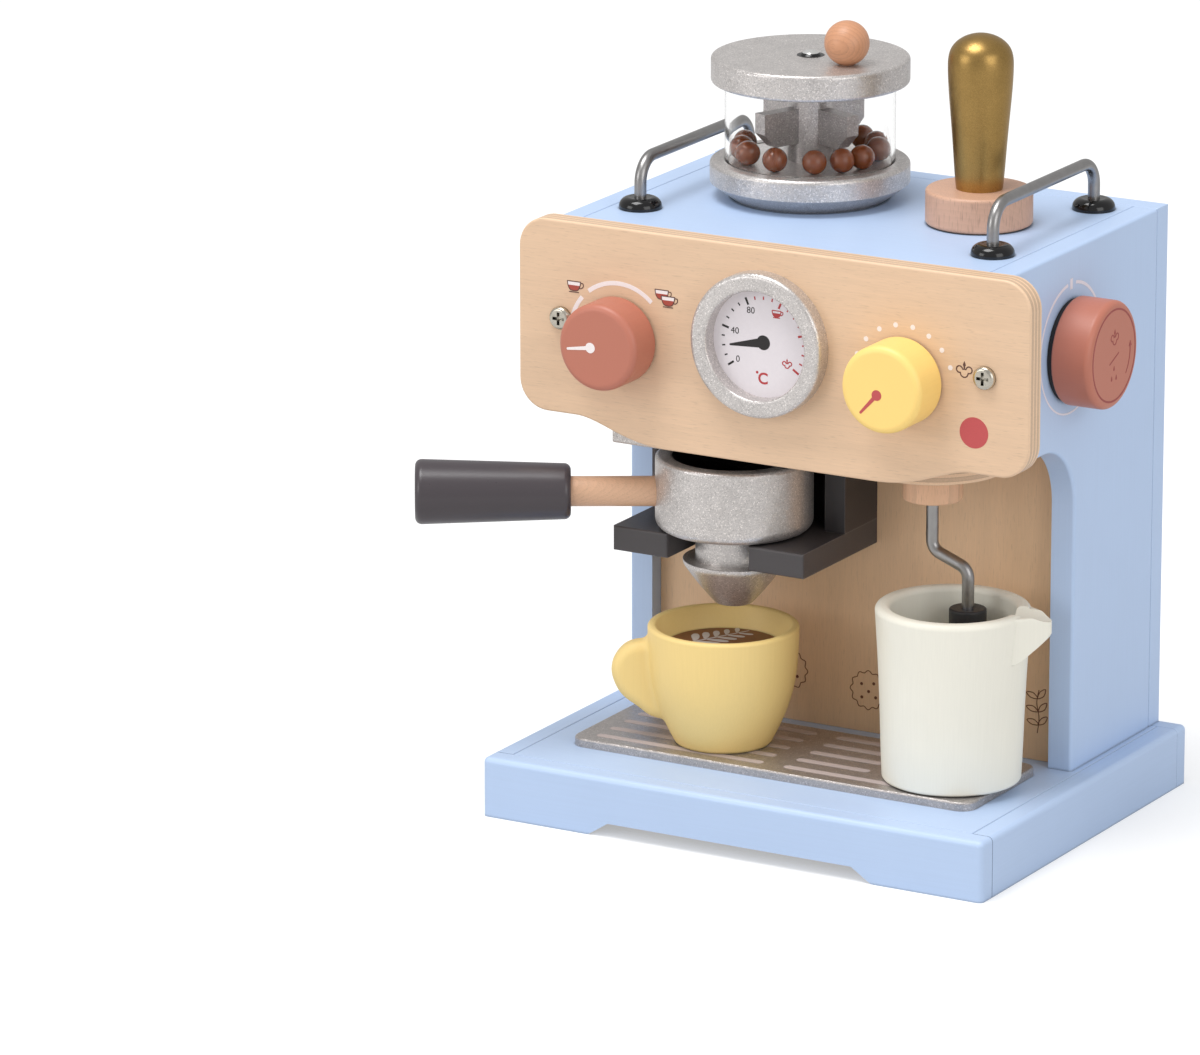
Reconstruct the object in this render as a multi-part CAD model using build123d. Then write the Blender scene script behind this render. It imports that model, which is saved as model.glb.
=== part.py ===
from build123d import *
import math
import os

# Toy coffee maker in wood. Millimetres. The origin is on the floor, in the middle of the rear
# rail's underside; -Y is the front, +X the right-hand side seen from the front, +Z is up.

# ---- driving dimensions: clearances and soft edges ----
seat_gap = 0.3            # between a loose or turning piece and what it rests on
running_fit = 0.05        # radial clearance of a shaft in its bore
soft_edge = 1.5           # rounding of the boards' outer edges
seam_chamfer = 0.45       # bevel of two boards that meet flush, which leaves a thin V groove

# ---- base ----
base_width = 250
base_depth = 200
base_height = 27.5
base_rail_thickness = 10
base_panel_thickness = 10
base_edge_round = 2.5
notch_inset = 54               # underside cut-out of the front rail, from its ends
notch_slant = 10               # run of the cut-out's sloping ends
notch_height = 6.5
notch_outer_round = 4
notch_inner_round = 2

# ---- casing ----
casing_side_inset = 13         # from the sides of the base
casing_height = 239.5          # above the base
casing_rear_setback = 1.3      # from the back of the base
side_panel_thickness = 11.3
back_panel_thickness = 11.7
top_panel_thickness = 11.3
housing_depth = 152.2          # upper part, rear face to front edge
pillar_setback = 63.5          # pillars' front edges, behind the housing's front edge
alcove_height = 152
arch_radius = 30
alcove_wall_inset = 8.2        # natural plywood wall, behind the pillars' front edges
alcove_wall_thickness = 6
housing_floor_thickness = 10

# ---- control panel ----
control_side_reach = 14.5      # past the casing's sides
control_thickness = 10.2
control_overlap_above = 0.5    # above the casing top
control_shoulder_lift = 0.5    # outer lower edge above the alcove's top
control_belly_drop = 10        # lower edge in the middle, below the outer one
control_top_round = 13.5
control_bottom_round = 14
shoulder_width = 28.5          # outer lower edge, from the side to where it swings down
swing_width = 46               # of the lower edge, down to the straight middle
belly_pull = 22                # reach of the swing's two curve handles
shoulder_pull = 12
control_edge_round = 1

# ---- screws ----
screw_head_radius = 5.2
screw_head_height = 2.8
screw_head_round = 1.7
screw_shank_radius = 2
screw_length = 32
screw_recess_length = 5.8
screw_recess_width = 1.4
screw_recess_depth = 1.7
panel_screw_inset = 7          # from the casing's sides
panel_screw_drop = 44          # below the control panel's top edge
base_screw_front_inset = 24    # from the pillars' front edges
base_screw_rear_inset = 11     # from the back board
brew_screw_inset = 13          # from the brew block's sides
brew_screw_bite = 7            # into the fork

# ---- gauge ----
gauge_x = -3.7
gauge_drop = 42.5              # centre below the control panel's top edge
gauge_outer_radius = 32.4
gauge_inner_radius = 24.3
gauge_depth = 8
gauge_outer_round = 2.2
gauge_inner_round = 1.2
dial_thickness = 0.4

# ---- knobs ----
spindle_radius = 4
spindle_head_radius = 9
spindle_head_thickness = 4
spindle_seat = 9               # length glued into the knob
knob_front_round = 3
knob_rear_round = 1
knob_drop = 50                 # centres below the control panel's top edge
knob_gap = 1
brew_knob_inset = 50.5         # from the control panel's left end
brew_knob_radius = 19.5
brew_knob_thickness = 18.5
steam_knob_inset = 61.1        # from the control panel's right end
steam_knob_radius = 19.4
steam_knob_thickness = 20.5
side_knob_setback = 57.1       # centre behind the housing's front edge
side_knob_drop = 45.3            # centre below the casing top
side_knob_radius = 24
side_knob_thickness = 18.7
spacer_radius = 22.6
spacer_thickness = 2

# ---- brew group under the housing ----
brew_left_gap = 14.4           # from the left side board
brew_right_gap = 14.7          # from the steam wand's flange
brew_setback = 27.2            # portafilter's axis, behind the housing's front edge
brew_plate_thickness = 13.5
brew_plate_setback = 2.5       # behind the housing's front edge
brew_block_height = 38.2
brew_block_front_setback = 14.1    # behind the portafilter's axis
cradle_radius = 40.5
fork_thickness = 11.3
fork_front_reach = 24.5
fork_slot_width = 41
brew_edge_round = 1

# ---- portafilter ----
filter_cup_radius = 35.2
filter_cup_bore_radius = 27
filter_cup_height = 33.4
filter_cup_floor = 8
filter_cup_bottom_round = 5
filter_cup_rim_round = 1.8
spout_neck_radius = 17.3
spout_tenon_radius = 7
spout_neck_gap = 2.6           # from the fork's underside to the cone
spout_cone_radius = 22.9
spout_cone_height = 20.5
spout_cone_bulge = ((21.4, 4), (18.4, 8.2), (10.8, 17.7))    # radius, and depth below its top
spout_rim_depth = 0.8
spout_rim_round = 0.4
spout_tip_radius = 8.2
spout_tip_round = 2
handle_direction = 210.3       # degrees from +X, at rest
handle_height_in_cup = 16.4    # dowel axis above the cup's underside
dowel_radius = 6.75
dowel_cup_seat = 6
dowel_free_length = 37.2
dowel_handle_seat = 14
handle_length = 69.1
handle_near_radius = 12.4
handle_far_radius = 14.6
handle_round = 3

# ---- steam wand ----
wand_flange_gap = 10.2         # from the right side board
wand_setback = 33.5            # swivel axis, behind the housing's front edge
wand_flange_radius = 33
wand_flange_thickness = 12
wand_collar_radius = 13.3
wand_collar_height = 14.7
wand_rod_radius = 2.75
wand_drop_to_bend = 22.9       # from the collar's underside to the upper bend's corner
wand_offset = 17.9
wand_offset_direction = 0      # degrees from +X
wand_slant_drop = 7
wand_bend_radius = 6
wand_lower_length = 32.4       # from the lower bend's corner to the tip's end
wand_tip_radius = 8.3
wand_tip_length = 15
wand_tip_seat = 9
wand_retainer_radius = 8
wand_retainer_thickness = 5

# ---- drip tray ----
tray_side_gap = 0.3            # inside the side boards' inner faces
tray_front_reach = 11.9        # in front of the housing's front edge
tray_rear_gap = 8.5            # in front of the pillars
tray_thickness = 3.9
tray_corner_round = 7
tray_edge_round = 1

# ---- bean hopper ----
hopper_x = -33.3
hopper_rear_inset = 54         # axis, in front of the back board
hopper_base_radius = 44.6
hopper_foot_radius = 34.3
hopper_bevel_height = 7.5
hopper_base_height = 17
hopper_edge_round = 2
hopper_groove_depth = 5
hopper_groove_clearance = 0.1
cylinder_radius = 38
cylinder_wall = 1.8
hopper_clear_height = 35.2     # from the base's top to the lid's underside
bead_radius = 5.5
bead_wall_gap = 0.3
bead_directions = (-168, -147, -125.5, -92, -58, -34, -12.8, 20.5, 42, 68, 100, 130)

# ---- lid and rotor ----
lid_radius = 44.2
lid_thickness = 11.8
lid_edge_round = 1.6
ball_radius = 10
ball_reach = 24.6              # from the lid's centre
ball_direction = -21.2         # degrees from +X
ball_flat = 0.4                # sawn off where it sits on the lid
ball_tenon_radius = 3
ball_tenon_length = 7
rivet_head_radius = 4.8
rivet_head_height = 2.4
rivet_shank_radius = 2
rivet_length = 20
post_radius = 10
post_tenon_radius = 3.5
post_tenon_length = 6
post_pivot_depth = 8
paddle_reach = 28.8
paddle_thickness = 6.6
paddle_height = 15.5
paddle_lift = 8.8              # lower edge above the hopper's floor
paddle_chamfer = 6.5
paddle_direction = 68.5        # degrees from +X, the others follow at right angles

# ---- cup rails on the top ----
rail_side_inset = 24.5         # from the casing's sides
rail_front_inset = 29.5        # feet, behind the housing's front edge
rail_rear_inset = 14           # feet, in front of the back board
rail_rod_radius = 2.7
rail_rise = 22                 # rod centreline above the casing top
rail_bend_radius = 11
rail_seat_depth = 8
foot_radius = 9.6
foot_height = 5
foot_rim_height = 1.2
foot_crown_radius = 4.6
foot_bulge = 1                 # of the dome past its chord, outwards and upwards

# ---- tamper ----
tamper_x = 55.65
tamper_rear_inset = 62.4       # axis, in front of the back board
tamper_disc_radius = 23.7
tamper_disc_thickness = 15.5
tamper_disc_round = 1.5
tamper_handle_height = 69.2
tamper_handle_foot_radius = 10.3
tamper_handle_swell = ((11.8, 18), (13.3, 36), (14.4, 53.3), (13.1, 62.3))    # radius, and height
tamper_tenon_radius = 4
tamper_tenon_length = 8

# ---- play cup ----
cup_front_step = -9.6          # from the portafilter's axis
cup_height = 54
cup_foot_radius = 21.5
cup_belly_radius = 30.8
cup_belly_height = 22.5
cup_rim_radius = 33.8
cup_bore_rim_radius = 30.5
cup_bore_floor_radius = 25.2
cup_bore_depth = 11.7
cup_rim_round = 1.5
coffee_thickness = 2.2
coffee_clearance = 0.1
ear_direction = 207            # degrees from +X
ear_root_reach = 22            # inside the cup's wall
ear_top_height = 46.6          # above the cup's underside
ear_bottom_height = 9.2
# reach and height
ear_swell = ((36, 46.2), (42.5, 44.6), (47, 40.5), (49.7, 34), (48.3, 26.5), (44.5, 20.5), (38, 15.6))
ear_thickness = 12
ear_round = 4.5
ear_root_round = 3.5
ear_root_zone = (27, 35)       # reach of the edges where the ear meets the cup's wall

# ---- milk jug ----
jug_side_step = 18             # from the steam wand's swivel axis
jug_front_step = -14.1
jug_height = 79
jug_foot_radius = 30.6
jug_waist_radius = 31.9
jug_waist_height = 34
jug_rim_radius = 34.4
jug_bore_radius = 27.6
jug_floor_thickness = 7.5
jug_foot_round = 1.5
jug_rim_round = 2.6
lip_direction = 10             # degrees from +X
lip_reach = 47.1
lip_tip_radius = 3.5
lip_drop = 0.8                 # below the rim's crest
lip_round = 1
lip_root_reach = 27.5
lip_root_half_width = 15
lip_depth = 20.5
lip_swell = ((45.8, 6), (42.8, 11), (37.8, 16))    # reach, and depth below its top
lip_channel_radius = 9
lip_channel_depth = 3.6

# ---- places that follow from the sizes ----
base_rear = base_rail_thickness / 2
base_front = base_rear - base_depth
casing_half = base_width / 2 - casing_side_inset
casing_inner_half = casing_half - side_panel_thickness
casing_top = base_height + casing_height
casing_rear = base_rear - casing_rear_setback
back_panel_front = casing_rear - back_panel_thickness
housing_front = casing_rear - housing_depth
pillar_front = housing_front + pillar_setback
alcove_top = base_height + alcove_height
alcove_wall_front = pillar_front + alcove_wall_inset
control_rear = housing_front
control_front = control_rear - control_thickness
control_top = casing_top + control_overlap_above
control_half = casing_half + control_side_reach
control_shoulder = alcove_top + control_shoulder_lift
control_belly = control_shoulder - control_belly_drop
housing_floor_top = alcove_top + housing_floor_thickness
knob_z = control_top - knob_drop
brew_knob_x = -control_half + brew_knob_inset
steam_knob_x = control_half - steam_knob_inset
side_knob_y = housing_front + side_knob_setback
side_knob_z = casing_top - side_knob_drop

wand_x = casing_inner_half - wand_flange_gap - wand_flange_radius
wand_y = housing_front + wand_setback
brew_left = -casing_inner_half + brew_left_gap
brew_right = wand_x - wand_flange_radius - brew_right_gap
brew_x = (brew_left + brew_right) / 2
brew_y = housing_front + brew_setback
brew_plate_bottom = alcove_top - brew_plate_thickness
fork_top = brew_plate_bottom - brew_block_height
fork_bottom = fork_top - fork_thickness
filter_bottom = fork_top + seat_gap
spout_cone_top = fork_bottom - spout_neck_gap

tray_half = casing_inner_half - tray_side_gap
tray_front = housing_front - tray_front_reach
tray_rear = pillar_front - tray_rear_gap
tray_top = base_height + tray_thickness
cup_x = brew_x
cup_y = brew_y + cup_front_step
hopper_y = back_panel_front - hopper_rear_inset
hopper_floor = casing_top + hopper_base_height
lid_bottom = hopper_floor + hopper_clear_height
lid_top = lid_bottom + lid_thickness
rail_x = casing_half - rail_side_inset
rail_front_y = housing_front + rail_front_inset
rail_rear_y = back_panel_front - rail_rear_inset
tamper_y = back_panel_front - tamper_rear_inset
jug_x = wand_x + jug_side_step
jug_y = wand_y + jug_front_step
wand_flange_bottom = alcove_top - wand_flange_thickness
wand_collar_bottom = wand_flange_bottom - wand_collar_height
side_screw_x = (casing_half + casing_inner_half) / 2
base_screw_places = (pillar_front + base_screw_front_inset, back_panel_front - base_screw_rear_inset)
panel_screw_x = casing_half - panel_screw_inset


# ---- basic shapes ----
def block(x_range, y_range, z_range):
    """A square block between a low and a high value on each axis."""
    ranges = (x_range, y_range, z_range)
    middle = [(low + high) / 2 for low, high in ranges]
    size = [high - low for low, high in ranges]
    return Pos(*middle) * Box(*size)


def upright(radius, z_low, z_high, x=0, y=0):
    """A round bar that stands upright."""
    return Pos(x, y, (z_low + z_high) / 2) * Cylinder(radius, z_high - z_low)


def turned(outline, x=0, y=0):
    """A piece turned on a lathe, from the closed outline of its half section, as radius and height."""
    return Pos(x, y, 0) * revolve(Plane.XZ * make_face(outline), Axis.Z)


def on_front(x, z, y=control_front):
    """Placement for a piece that is made along +Z, so that it points to the front."""
    return Pos(x, y, z) * Rot(90, 0, 0)


def on_right(y, z, x=casing_half):
    """Placement for a piece that is made along +Z, so that it points to the right."""
    return Pos(x, y, z) * Rot(0, 90, 0)


def toward(angle, reach):
    """X and Y steps of a reach along a direction in degrees from +X."""
    turn = math.radians(angle)
    return reach * math.cos(turn), reach * math.sin(turn)


def edges_at(piece, test):
    """The edges of a piece whose middle passes a test."""
    return [edge for edge in piece.edges() if test(edge.position_at(0.5))]


def near(value, target):
    """Whether two lengths are the same."""
    return abs(value - target) < 0.01


def dome_arc(radius, z_low, height):
    """Half section of a spherical cap, from its rim to its top."""
    sphere_radius = (radius**2 + height**2) / (2 * height)
    half_angle = math.asin(radius / sphere_radius) / 2
    middle_radius = sphere_radius * math.sin(half_angle)
    middle_z = z_low + height - sphere_radius * (1 - math.cos(half_angle))
    return ThreePointArc((radius, z_low), (middle_radius, middle_z), (0, z_low + height))


def screw(length):
    """Pan-head screw along -Z with its head seated at zero and a crossed driver recess."""
    head = upright(screw_head_radius, 0, screw_head_height)
    head = fillet(edges_at(head, lambda p: near(p.Z, screw_head_height)), screw_head_round)
    arm = Box(screw_recess_length, screw_recess_width, screw_recess_depth)
    recess = arm + Rot(0, 0, 90) * arm
    head -= Pos(0, 0, screw_head_height - screw_recess_depth / 2) * recess
    return head + upright(screw_shank_radius, -length, 0)


def screw_hole(length):
    """The hole that a screw's shank fills, along -Z from zero."""
    return upright(screw_shank_radius, -length, 0)


# ---- base ----
def base_front_rail():
    """Front rail over the full width, cut out underneath between two feet."""
    half = base_width / 2
    notch_foot = half - notch_inset
    notch_top = notch_foot - notch_slant
    outline = Polyline(
        (-half, 0),
        (-notch_foot, 0),
        (-notch_top, notch_height),
        (notch_top, notch_height),
        (notch_foot, 0),
        (half, 0),
        (half, base_height),
        (-half, base_height),
        close=True,
    )
    face = make_face(outline)
    foot_corners = [v for v in face.vertices() if near(abs(v.X), notch_foot)]
    face = fillet(foot_corners, notch_outer_round)
    top_corners = [v for v in face.vertices() if near(abs(v.X), notch_top)]
    face = fillet(top_corners, notch_inner_round)
    rail = extrude(Plane.XZ.offset(-base_front) * face, -base_rail_thickness)
    return finish_end_rail(rail, base_front)


def base_rear_rail():
    """Rear rail over the full width."""
    half = base_width / 2
    y_range = (base_rear - base_rail_thickness, base_rear)
    rail = block((-half, half), y_range, (0, base_height))
    return finish_end_rail(rail, base_rear)


def finish_end_rail(rail, outer_y):
    """Round the outer edges of a full-width rail and bevel the one beside the base panel."""
    half = base_width / 2
    inner_y = outer_y - math.copysign(base_rail_thickness, outer_y)
    upper = edges_at(rail, lambda p: near(p.Z, base_height) and not near(p.Y, inner_y))
    corners = edges_at(rail, lambda p: near(abs(p.X), half) and near(p.Y, outer_y))
    rail = fillet(upper + corners, base_edge_round)
    seam = edges_at(rail, lambda p: near(p.Z, base_height) and near(p.Y, inner_y))
    return chamfer(seam, seam_chamfer)


def base_side_rail(side):
    """Side rail between the front and rear rails; side is -1 for left and 1 for right."""
    half = base_width / 2
    x_range = sorted((side * half, side * (half - base_rail_thickness)))
    y_range = (base_front + base_rail_thickness, base_rear - base_rail_thickness)
    rail = block(x_range, y_range, (0, base_height))
    outer = edges_at(rail, lambda p: near(p.Z, base_height) and near(p.X, side * half))
    rail = fillet(outer, base_edge_round)
    inner_x = side * (half - base_rail_thickness)
    seam = edges_at(rail, lambda p: near(p.Z, base_height) and near(p.X, inner_x))
    return chamfer(seam, seam_chamfer)


def base_panel():
    """Deck that lies flush between the four rails."""
    half = base_width / 2 - base_rail_thickness
    y_range = (base_front + base_rail_thickness, base_rear - base_rail_thickness)
    deck = block((-half, half), y_range, (base_height - base_panel_thickness, base_height))
    deck = chamfer(edges_at(deck, lambda p: near(p.Z, base_height)), seam_chamfer)
    for x in (-side_screw_x, side_screw_x):
        for y in base_screw_places:
            deck -= upright(screw_shank_radius, 0, base_height, x, y)
    return deck


def base_screws():
    """Four screws up through the deck into the side panels."""
    head_seat = base_height - base_panel_thickness
    group = [
        Pos(x, y, head_seat) * Rot(180, 0, 0) * screw(screw_length)
        for x in (-side_screw_x, side_screw_x)
        for y in base_screw_places
    ]
    return Compound(children=group)


# ---- casing ----
def side_panel(side):
    """Side board with an arched cut-out for the alcove; side is -1 for left and 1 for right."""
    arch_start = alcove_top - arch_radius
    arch_end = pillar_front - arch_radius
    lower = Polyline((pillar_front, arch_start), (pillar_front, base_height), (back_panel_front, base_height))
    upper = Polyline(
        (back_panel_front, base_height),
        (back_panel_front, casing_top),
        (housing_front, casing_top),
        (housing_front, alcove_top),
        (arch_end, alcove_top),
    )
    middle = arch_radius * math.sqrt(0.5)
    arch = ThreePointArc(
        (arch_end, alcove_top),
        (arch_end + middle, arch_start + middle),
        (pillar_front, arch_start),
    )
    face = make_face(lower + upper + arch)
    board = extrude(Plane.YZ * face, side_panel_thickness)
    board = Pos(casing_inner_half if side > 0 else -casing_half, 0, 0) * board
    outer_x = side * casing_half
    inner_x = side * casing_inner_half
    open_edge = edges_at(
        board,
        lambda p: near(p.X, outer_x) and not near(p.Z, base_height) and not near(p.Y, back_panel_front),
    )
    board = fillet(open_edge, soft_edge)
    seams = edges_at(
        board,
        lambda p: (near(p.X, inner_x) and near(p.Z, casing_top))
        or (near(p.X, outer_x) and near(p.Y, back_panel_front)),
    )
    board = chamfer(seams, seam_chamfer)
    screw_place = on_front(side * panel_screw_x, control_top - panel_screw_drop)
    board -= screw_place * screw_hole(screw_length)
    for y in base_screw_places:
        board -= upright(screw_shank_radius, 0, base_height - base_panel_thickness + screw_length,
                         side * side_screw_x, y)
    if side > 0:
        bore = upright(spindle_radius + running_fit, -side_panel_thickness, 0)
        board -= on_right(side_knob_y, side_knob_z) * bore
    return board


def back_panel():
    """Rear board over the full width of the casing."""
    y_range = (back_panel_front, casing_rear)
    board = block((-casing_half, casing_half), y_range, (base_height, casing_top))
    outer = edges_at(board, lambda p: near(p.Y, casing_rear) and not near(p.Z, base_height))
    board = fillet(outer, soft_edge)
    seams = edges_at(board, lambda p: near(p.Y, back_panel_front) and not near(p.Z, base_height))
    return chamfer(seams, seam_chamfer)


def top_panel():
    """Top board, let in between the side boards, the back board and the control panel."""
    inner = casing_inner_half
    z_range = (casing_top - top_panel_thickness, casing_top)
    board = block((-inner, inner), (housing_front, back_panel_front), z_range)
    board = chamfer(edges_at(board, lambda p: near(p.Z, casing_top)), seam_chamfer)
    for x in (-1, 1):
        for y in (rail_front_y, rail_rear_y):
            board -= upright(
                rail_rod_radius,
                casing_top - rail_seat_depth,
                casing_top,
                x * rail_x,
                y,
            )
    return board


def housing_floor():
    """Board under the upper housing, which carries the brew group and the steam wand."""
    inner = casing_inner_half
    y_range = (housing_front, alcove_wall_front + alcove_wall_thickness)
    board = block((-inner, inner), y_range, (alcove_top, housing_floor_top))
    board -= upright(wand_rod_radius + running_fit, 0, casing_top, wand_x, wand_y)
    for x in brew_screw_places():
        board -= upright(screw_shank_radius, 0, casing_top, x, brew_screw_y())
    return board


def alcove_wall():
    """Natural plywood wall behind the cups."""
    inner = casing_inner_half
    y_range = (alcove_wall_front, alcove_wall_front + alcove_wall_thickness)
    return block((-inner, inner), y_range, (base_height, alcove_top))


# ---- control panel ----
def control_panel():
    """Front board with round corners and a lower edge that swings down in the middle."""
    half = control_half
    shoulder = control_shoulder
    belly = control_belly
    shoulder_inner = half - shoulder_width
    belly_half_width = shoulder_inner - swing_width
    swing = Bezier(
        (belly_half_width, belly),
        (belly_half_width + belly_pull, belly),
        (shoulder_inner - shoulder_pull, shoulder),
        (shoulder_inner, shoulder),
    )
    lower = Polyline((0, control_top), (0, belly), (belly_half_width, belly))
    corner = control_bottom_round
    crown = control_top_round
    outer = Line((shoulder_inner, shoulder), (half - corner, shoulder))
    outer += RadiusArc((half - corner, shoulder), (half, shoulder + corner), -corner)
    outer += Line((half, shoulder + corner), (half, control_top - crown))
    outer += RadiusArc((half, control_top - crown), (half - crown, control_top), -crown)
    outer += Line((half - crown, control_top), (0, control_top))
    right = extrude(Plane.XZ.offset(-control_rear) * make_face(lower + swing + outer), control_thickness)
    board = right + mirror(right, Plane.YZ)
    front_edge = edges_at(board, lambda p: near(p.Y, control_front))
    board = fillet(front_edge, control_edge_round)
    for x in (brew_knob_x, steam_knob_x):
        bore = upright(spindle_radius + running_fit, -control_thickness, 0)
        board -= on_front(x, knob_z) * bore
    for x in (-1, 1):
        place = on_front(x * panel_screw_x, control_top - panel_screw_drop)
        board -= place * screw_hole(screw_length)
    return board


def panel_screws():
    """Two screws through the control panel into the front edges of the side boards."""
    z = control_top - panel_screw_drop
    group = [on_front(x * panel_screw_x, z) * screw(screw_length) for x in (-1, 1)]
    return Compound(children=group)


def gauge_ring():
    """Bezel around the thermometer dial."""
    ring = upright(gauge_outer_radius, 0, gauge_depth) - upright(gauge_inner_radius, 0, gauge_depth)
    rims = edges_at(ring, lambda p: near(p.Z, gauge_depth))
    rims.sort(key=lambda edge: edge.length)
    ring = fillet([rims[1]], gauge_outer_round)
    inner = edges_at(ring, lambda p: near(p.Z, gauge_depth))
    inner.sort(key=lambda edge: edge.length)
    ring = fillet([inner[0]], gauge_inner_round)
    return on_front(gauge_x, control_top - gauge_drop) * ring


def gauge_dial():
    """Printed dial card inside the bezel."""
    card = upright(gauge_inner_radius, 0, dial_thickness)
    return on_front(gauge_x, control_top - gauge_drop) * card


# ---- knobs ----
def knob(radius, thickness):
    """Round knob along +Z with a blind hole for its spindle."""
    body = upright(radius, 0, thickness)
    body = fillet(edges_at(body, lambda p: near(p.Z, thickness)), knob_front_round)
    body = fillet(edges_at(body, lambda p: near(p.Z, 0)), knob_rear_round)
    return body - upright(spindle_radius, 0, spindle_seat)


def spindle(length_outside, wall):
    """Turned dowel with a head, along +Z, from behind a wall into a knob."""
    shank = upright(spindle_radius, -wall - seat_gap, length_outside + spindle_seat)
    head_top = -wall - seat_gap
    return shank + upright(spindle_head_radius, head_top - spindle_head_thickness, head_top)


def brew_knob():
    """Terracotta knob on the left of the control panel."""
    place = on_front(brew_knob_x, knob_z, control_front - knob_gap)
    return place * knob(brew_knob_radius, brew_knob_thickness)


def steam_knob():
    """Yellow knob on the right of the control panel."""
    place = on_front(steam_knob_x, knob_z, control_front - knob_gap)
    return place * knob(steam_knob_radius, steam_knob_thickness)


def panel_spindle(x):
    """Spindle of a knob on the control panel."""
    return on_front(x, knob_z) * spindle(knob_gap, control_thickness)


def side_knob():
    """Large terracotta knob on the right side."""
    reach = casing_half + spacer_thickness + seat_gap
    place = on_right(side_knob_y, side_knob_z, reach)
    return place * knob(side_knob_radius, side_knob_thickness)


def side_knob_spacer():
    """Thin black disc between the side board and its knob."""
    disc = upright(spacer_radius, 0, spacer_thickness)
    disc -= upright(spindle_radius + running_fit, 0, spacer_thickness)
    return on_right(side_knob_y, side_knob_z) * disc


def side_knob_spindle():
    """Spindle of the side knob."""
    place = on_right(side_knob_y, side_knob_z)
    return place * spindle(spacer_thickness + seat_gap, side_panel_thickness)


# ---- brew group ----
def brew_screw_places():
    """X of the two long screws that hold the brew group."""
    return brew_left + brew_screw_inset, brew_right - brew_screw_inset


def brew_screw_y():
    """Y of the long screws, half-way between the wall and the cradle."""
    side_step = brew_x - brew_left - brew_screw_inset
    cradle_y = brew_y + math.sqrt(cradle_radius**2 - side_step**2)
    return (cradle_y + alcove_wall_front) / 2


def drill_brew_screws(board):
    """Drill the two screw holes through a board of the brew group."""
    for x in brew_screw_places():
        board -= upright(screw_shank_radius, fork_top - brew_screw_bite, casing_top, x, brew_screw_y())
    return board


def brew_plate():
    """Silver board under the housing."""
    y_range = (housing_front + brew_plate_setback, alcove_wall_front)
    board = block((brew_left, brew_right), y_range, (brew_plate_bottom, alcove_top))
    lower_front = edges_at(board, lambda p: near(p.Z, brew_plate_bottom) and not near(p.Y, alcove_wall_front))
    board = fillet(lower_front, brew_edge_round)
    return drill_brew_screws(board)


def brew_block():
    """Black block behind the portafilter, hollowed to its round."""
    y_range = (brew_y + brew_block_front_setback, alcove_wall_front)
    body = block((brew_left, brew_right), y_range, (fork_top, brew_plate_bottom))
    body -= upright(cradle_radius, fork_top, brew_plate_bottom, brew_x, brew_y)
    return drill_brew_screws(body)


def brew_fork():
    """Black fork that carries the portafilter; its slot is open to the front."""
    y_range = (brew_y - fork_front_reach, alcove_wall_front)
    body = block((brew_left, brew_right), y_range, (fork_bottom, fork_top))
    half_slot = fork_slot_width / 2
    slot_y = (brew_y - fork_front_reach, brew_y)
    body -= block((brew_x - half_slot, brew_x + half_slot), slot_y, (fork_bottom, fork_top))
    body -= upright(half_slot, fork_bottom, fork_top, brew_x, brew_y)
    front_y = brew_y - fork_front_reach
    body = fillet(edges_at(body, lambda p: near(p.Y, front_y)), brew_edge_round)
    return drill_brew_screws(body)


def brew_screws():
    """Two long screws from inside the housing through plate and block into the fork."""
    length = housing_floor_top - fork_top + brew_screw_bite
    group = [Pos(x, brew_screw_y(), housing_floor_top) * screw(length) for x in brew_screw_places()]
    return Compound(children=group)


# ---- portafilter ----
def handle_place():
    """Placement of a piece that is made along +Z, so that it lies along the portafilter's handle."""
    z = filter_bottom + handle_height_in_cup
    return Pos(brew_x, brew_y, z) * Rot(0, 0, handle_direction) * Rot(0, 90, 0)


def dowel_start():
    """Inner end of the dowel, from the portafilter's axis."""
    return filter_cup_radius - dowel_cup_seat


def handle_start():
    """Near end of the handle, from the portafilter's axis."""
    return filter_cup_radius + dowel_free_length


def portafilter_cup():
    """Silver basket that hangs on the fork."""
    top = filter_bottom + filter_cup_height
    body = upright(filter_cup_radius, filter_bottom, top)
    body -= upright(filter_cup_bore_radius, filter_bottom + filter_cup_floor, top)
    body = fillet(edges_at(body, lambda p: near(p.Z, filter_bottom)), filter_cup_bottom_round)
    body = fillet(edges_at(body, lambda p: near(p.Z, top)), filter_cup_rim_round)
    body -= upright(spout_tenon_radius + running_fit, filter_bottom, top)
    body = Pos(brew_x, brew_y, 0) * body
    return body - handle_place() * upright(dowel_radius, dowel_start(), handle_start())


def portafilter_spout():
    """Neck and pouring cone below the basket, with a tenon that the basket turns on."""
    tenon_top = filter_bottom + filter_cup_floor - seat_gap
    neck_top = filter_bottom - seat_gap
    rim_bottom = spout_cone_top - spout_rim_depth
    tip = spout_cone_top - spout_cone_height
    cone = Spline(
        (spout_cone_radius, rim_bottom),
        *[(radius, spout_cone_top - depth) for radius, depth in spout_cone_bulge],
        (spout_tip_radius, tip),
        tangents=[(-0.1, -1), (-1, -0.9)],
    )
    rest = Polyline(
        (spout_tip_radius, tip),
        (0, tip),
        (0, tenon_top),
        (spout_tenon_radius, tenon_top),
        (spout_tenon_radius, neck_top),
        (spout_neck_radius, neck_top),
        (spout_neck_radius, spout_cone_top),
        (spout_cone_radius, spout_cone_top),
        (spout_cone_radius, rim_bottom),
    )
    body = turned(cone + rest, brew_x, brew_y)
    body = fillet(edges_at(body, lambda p: near(p.Z, tip)), spout_tip_round)
    rim = [
        edge
        for edge in edges_at(body, lambda p: near(p.Z, spout_cone_top))
        if edge.length > 2 * math.pi * spout_neck_radius + 1
    ]
    return fillet(rim, spout_rim_round)


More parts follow.
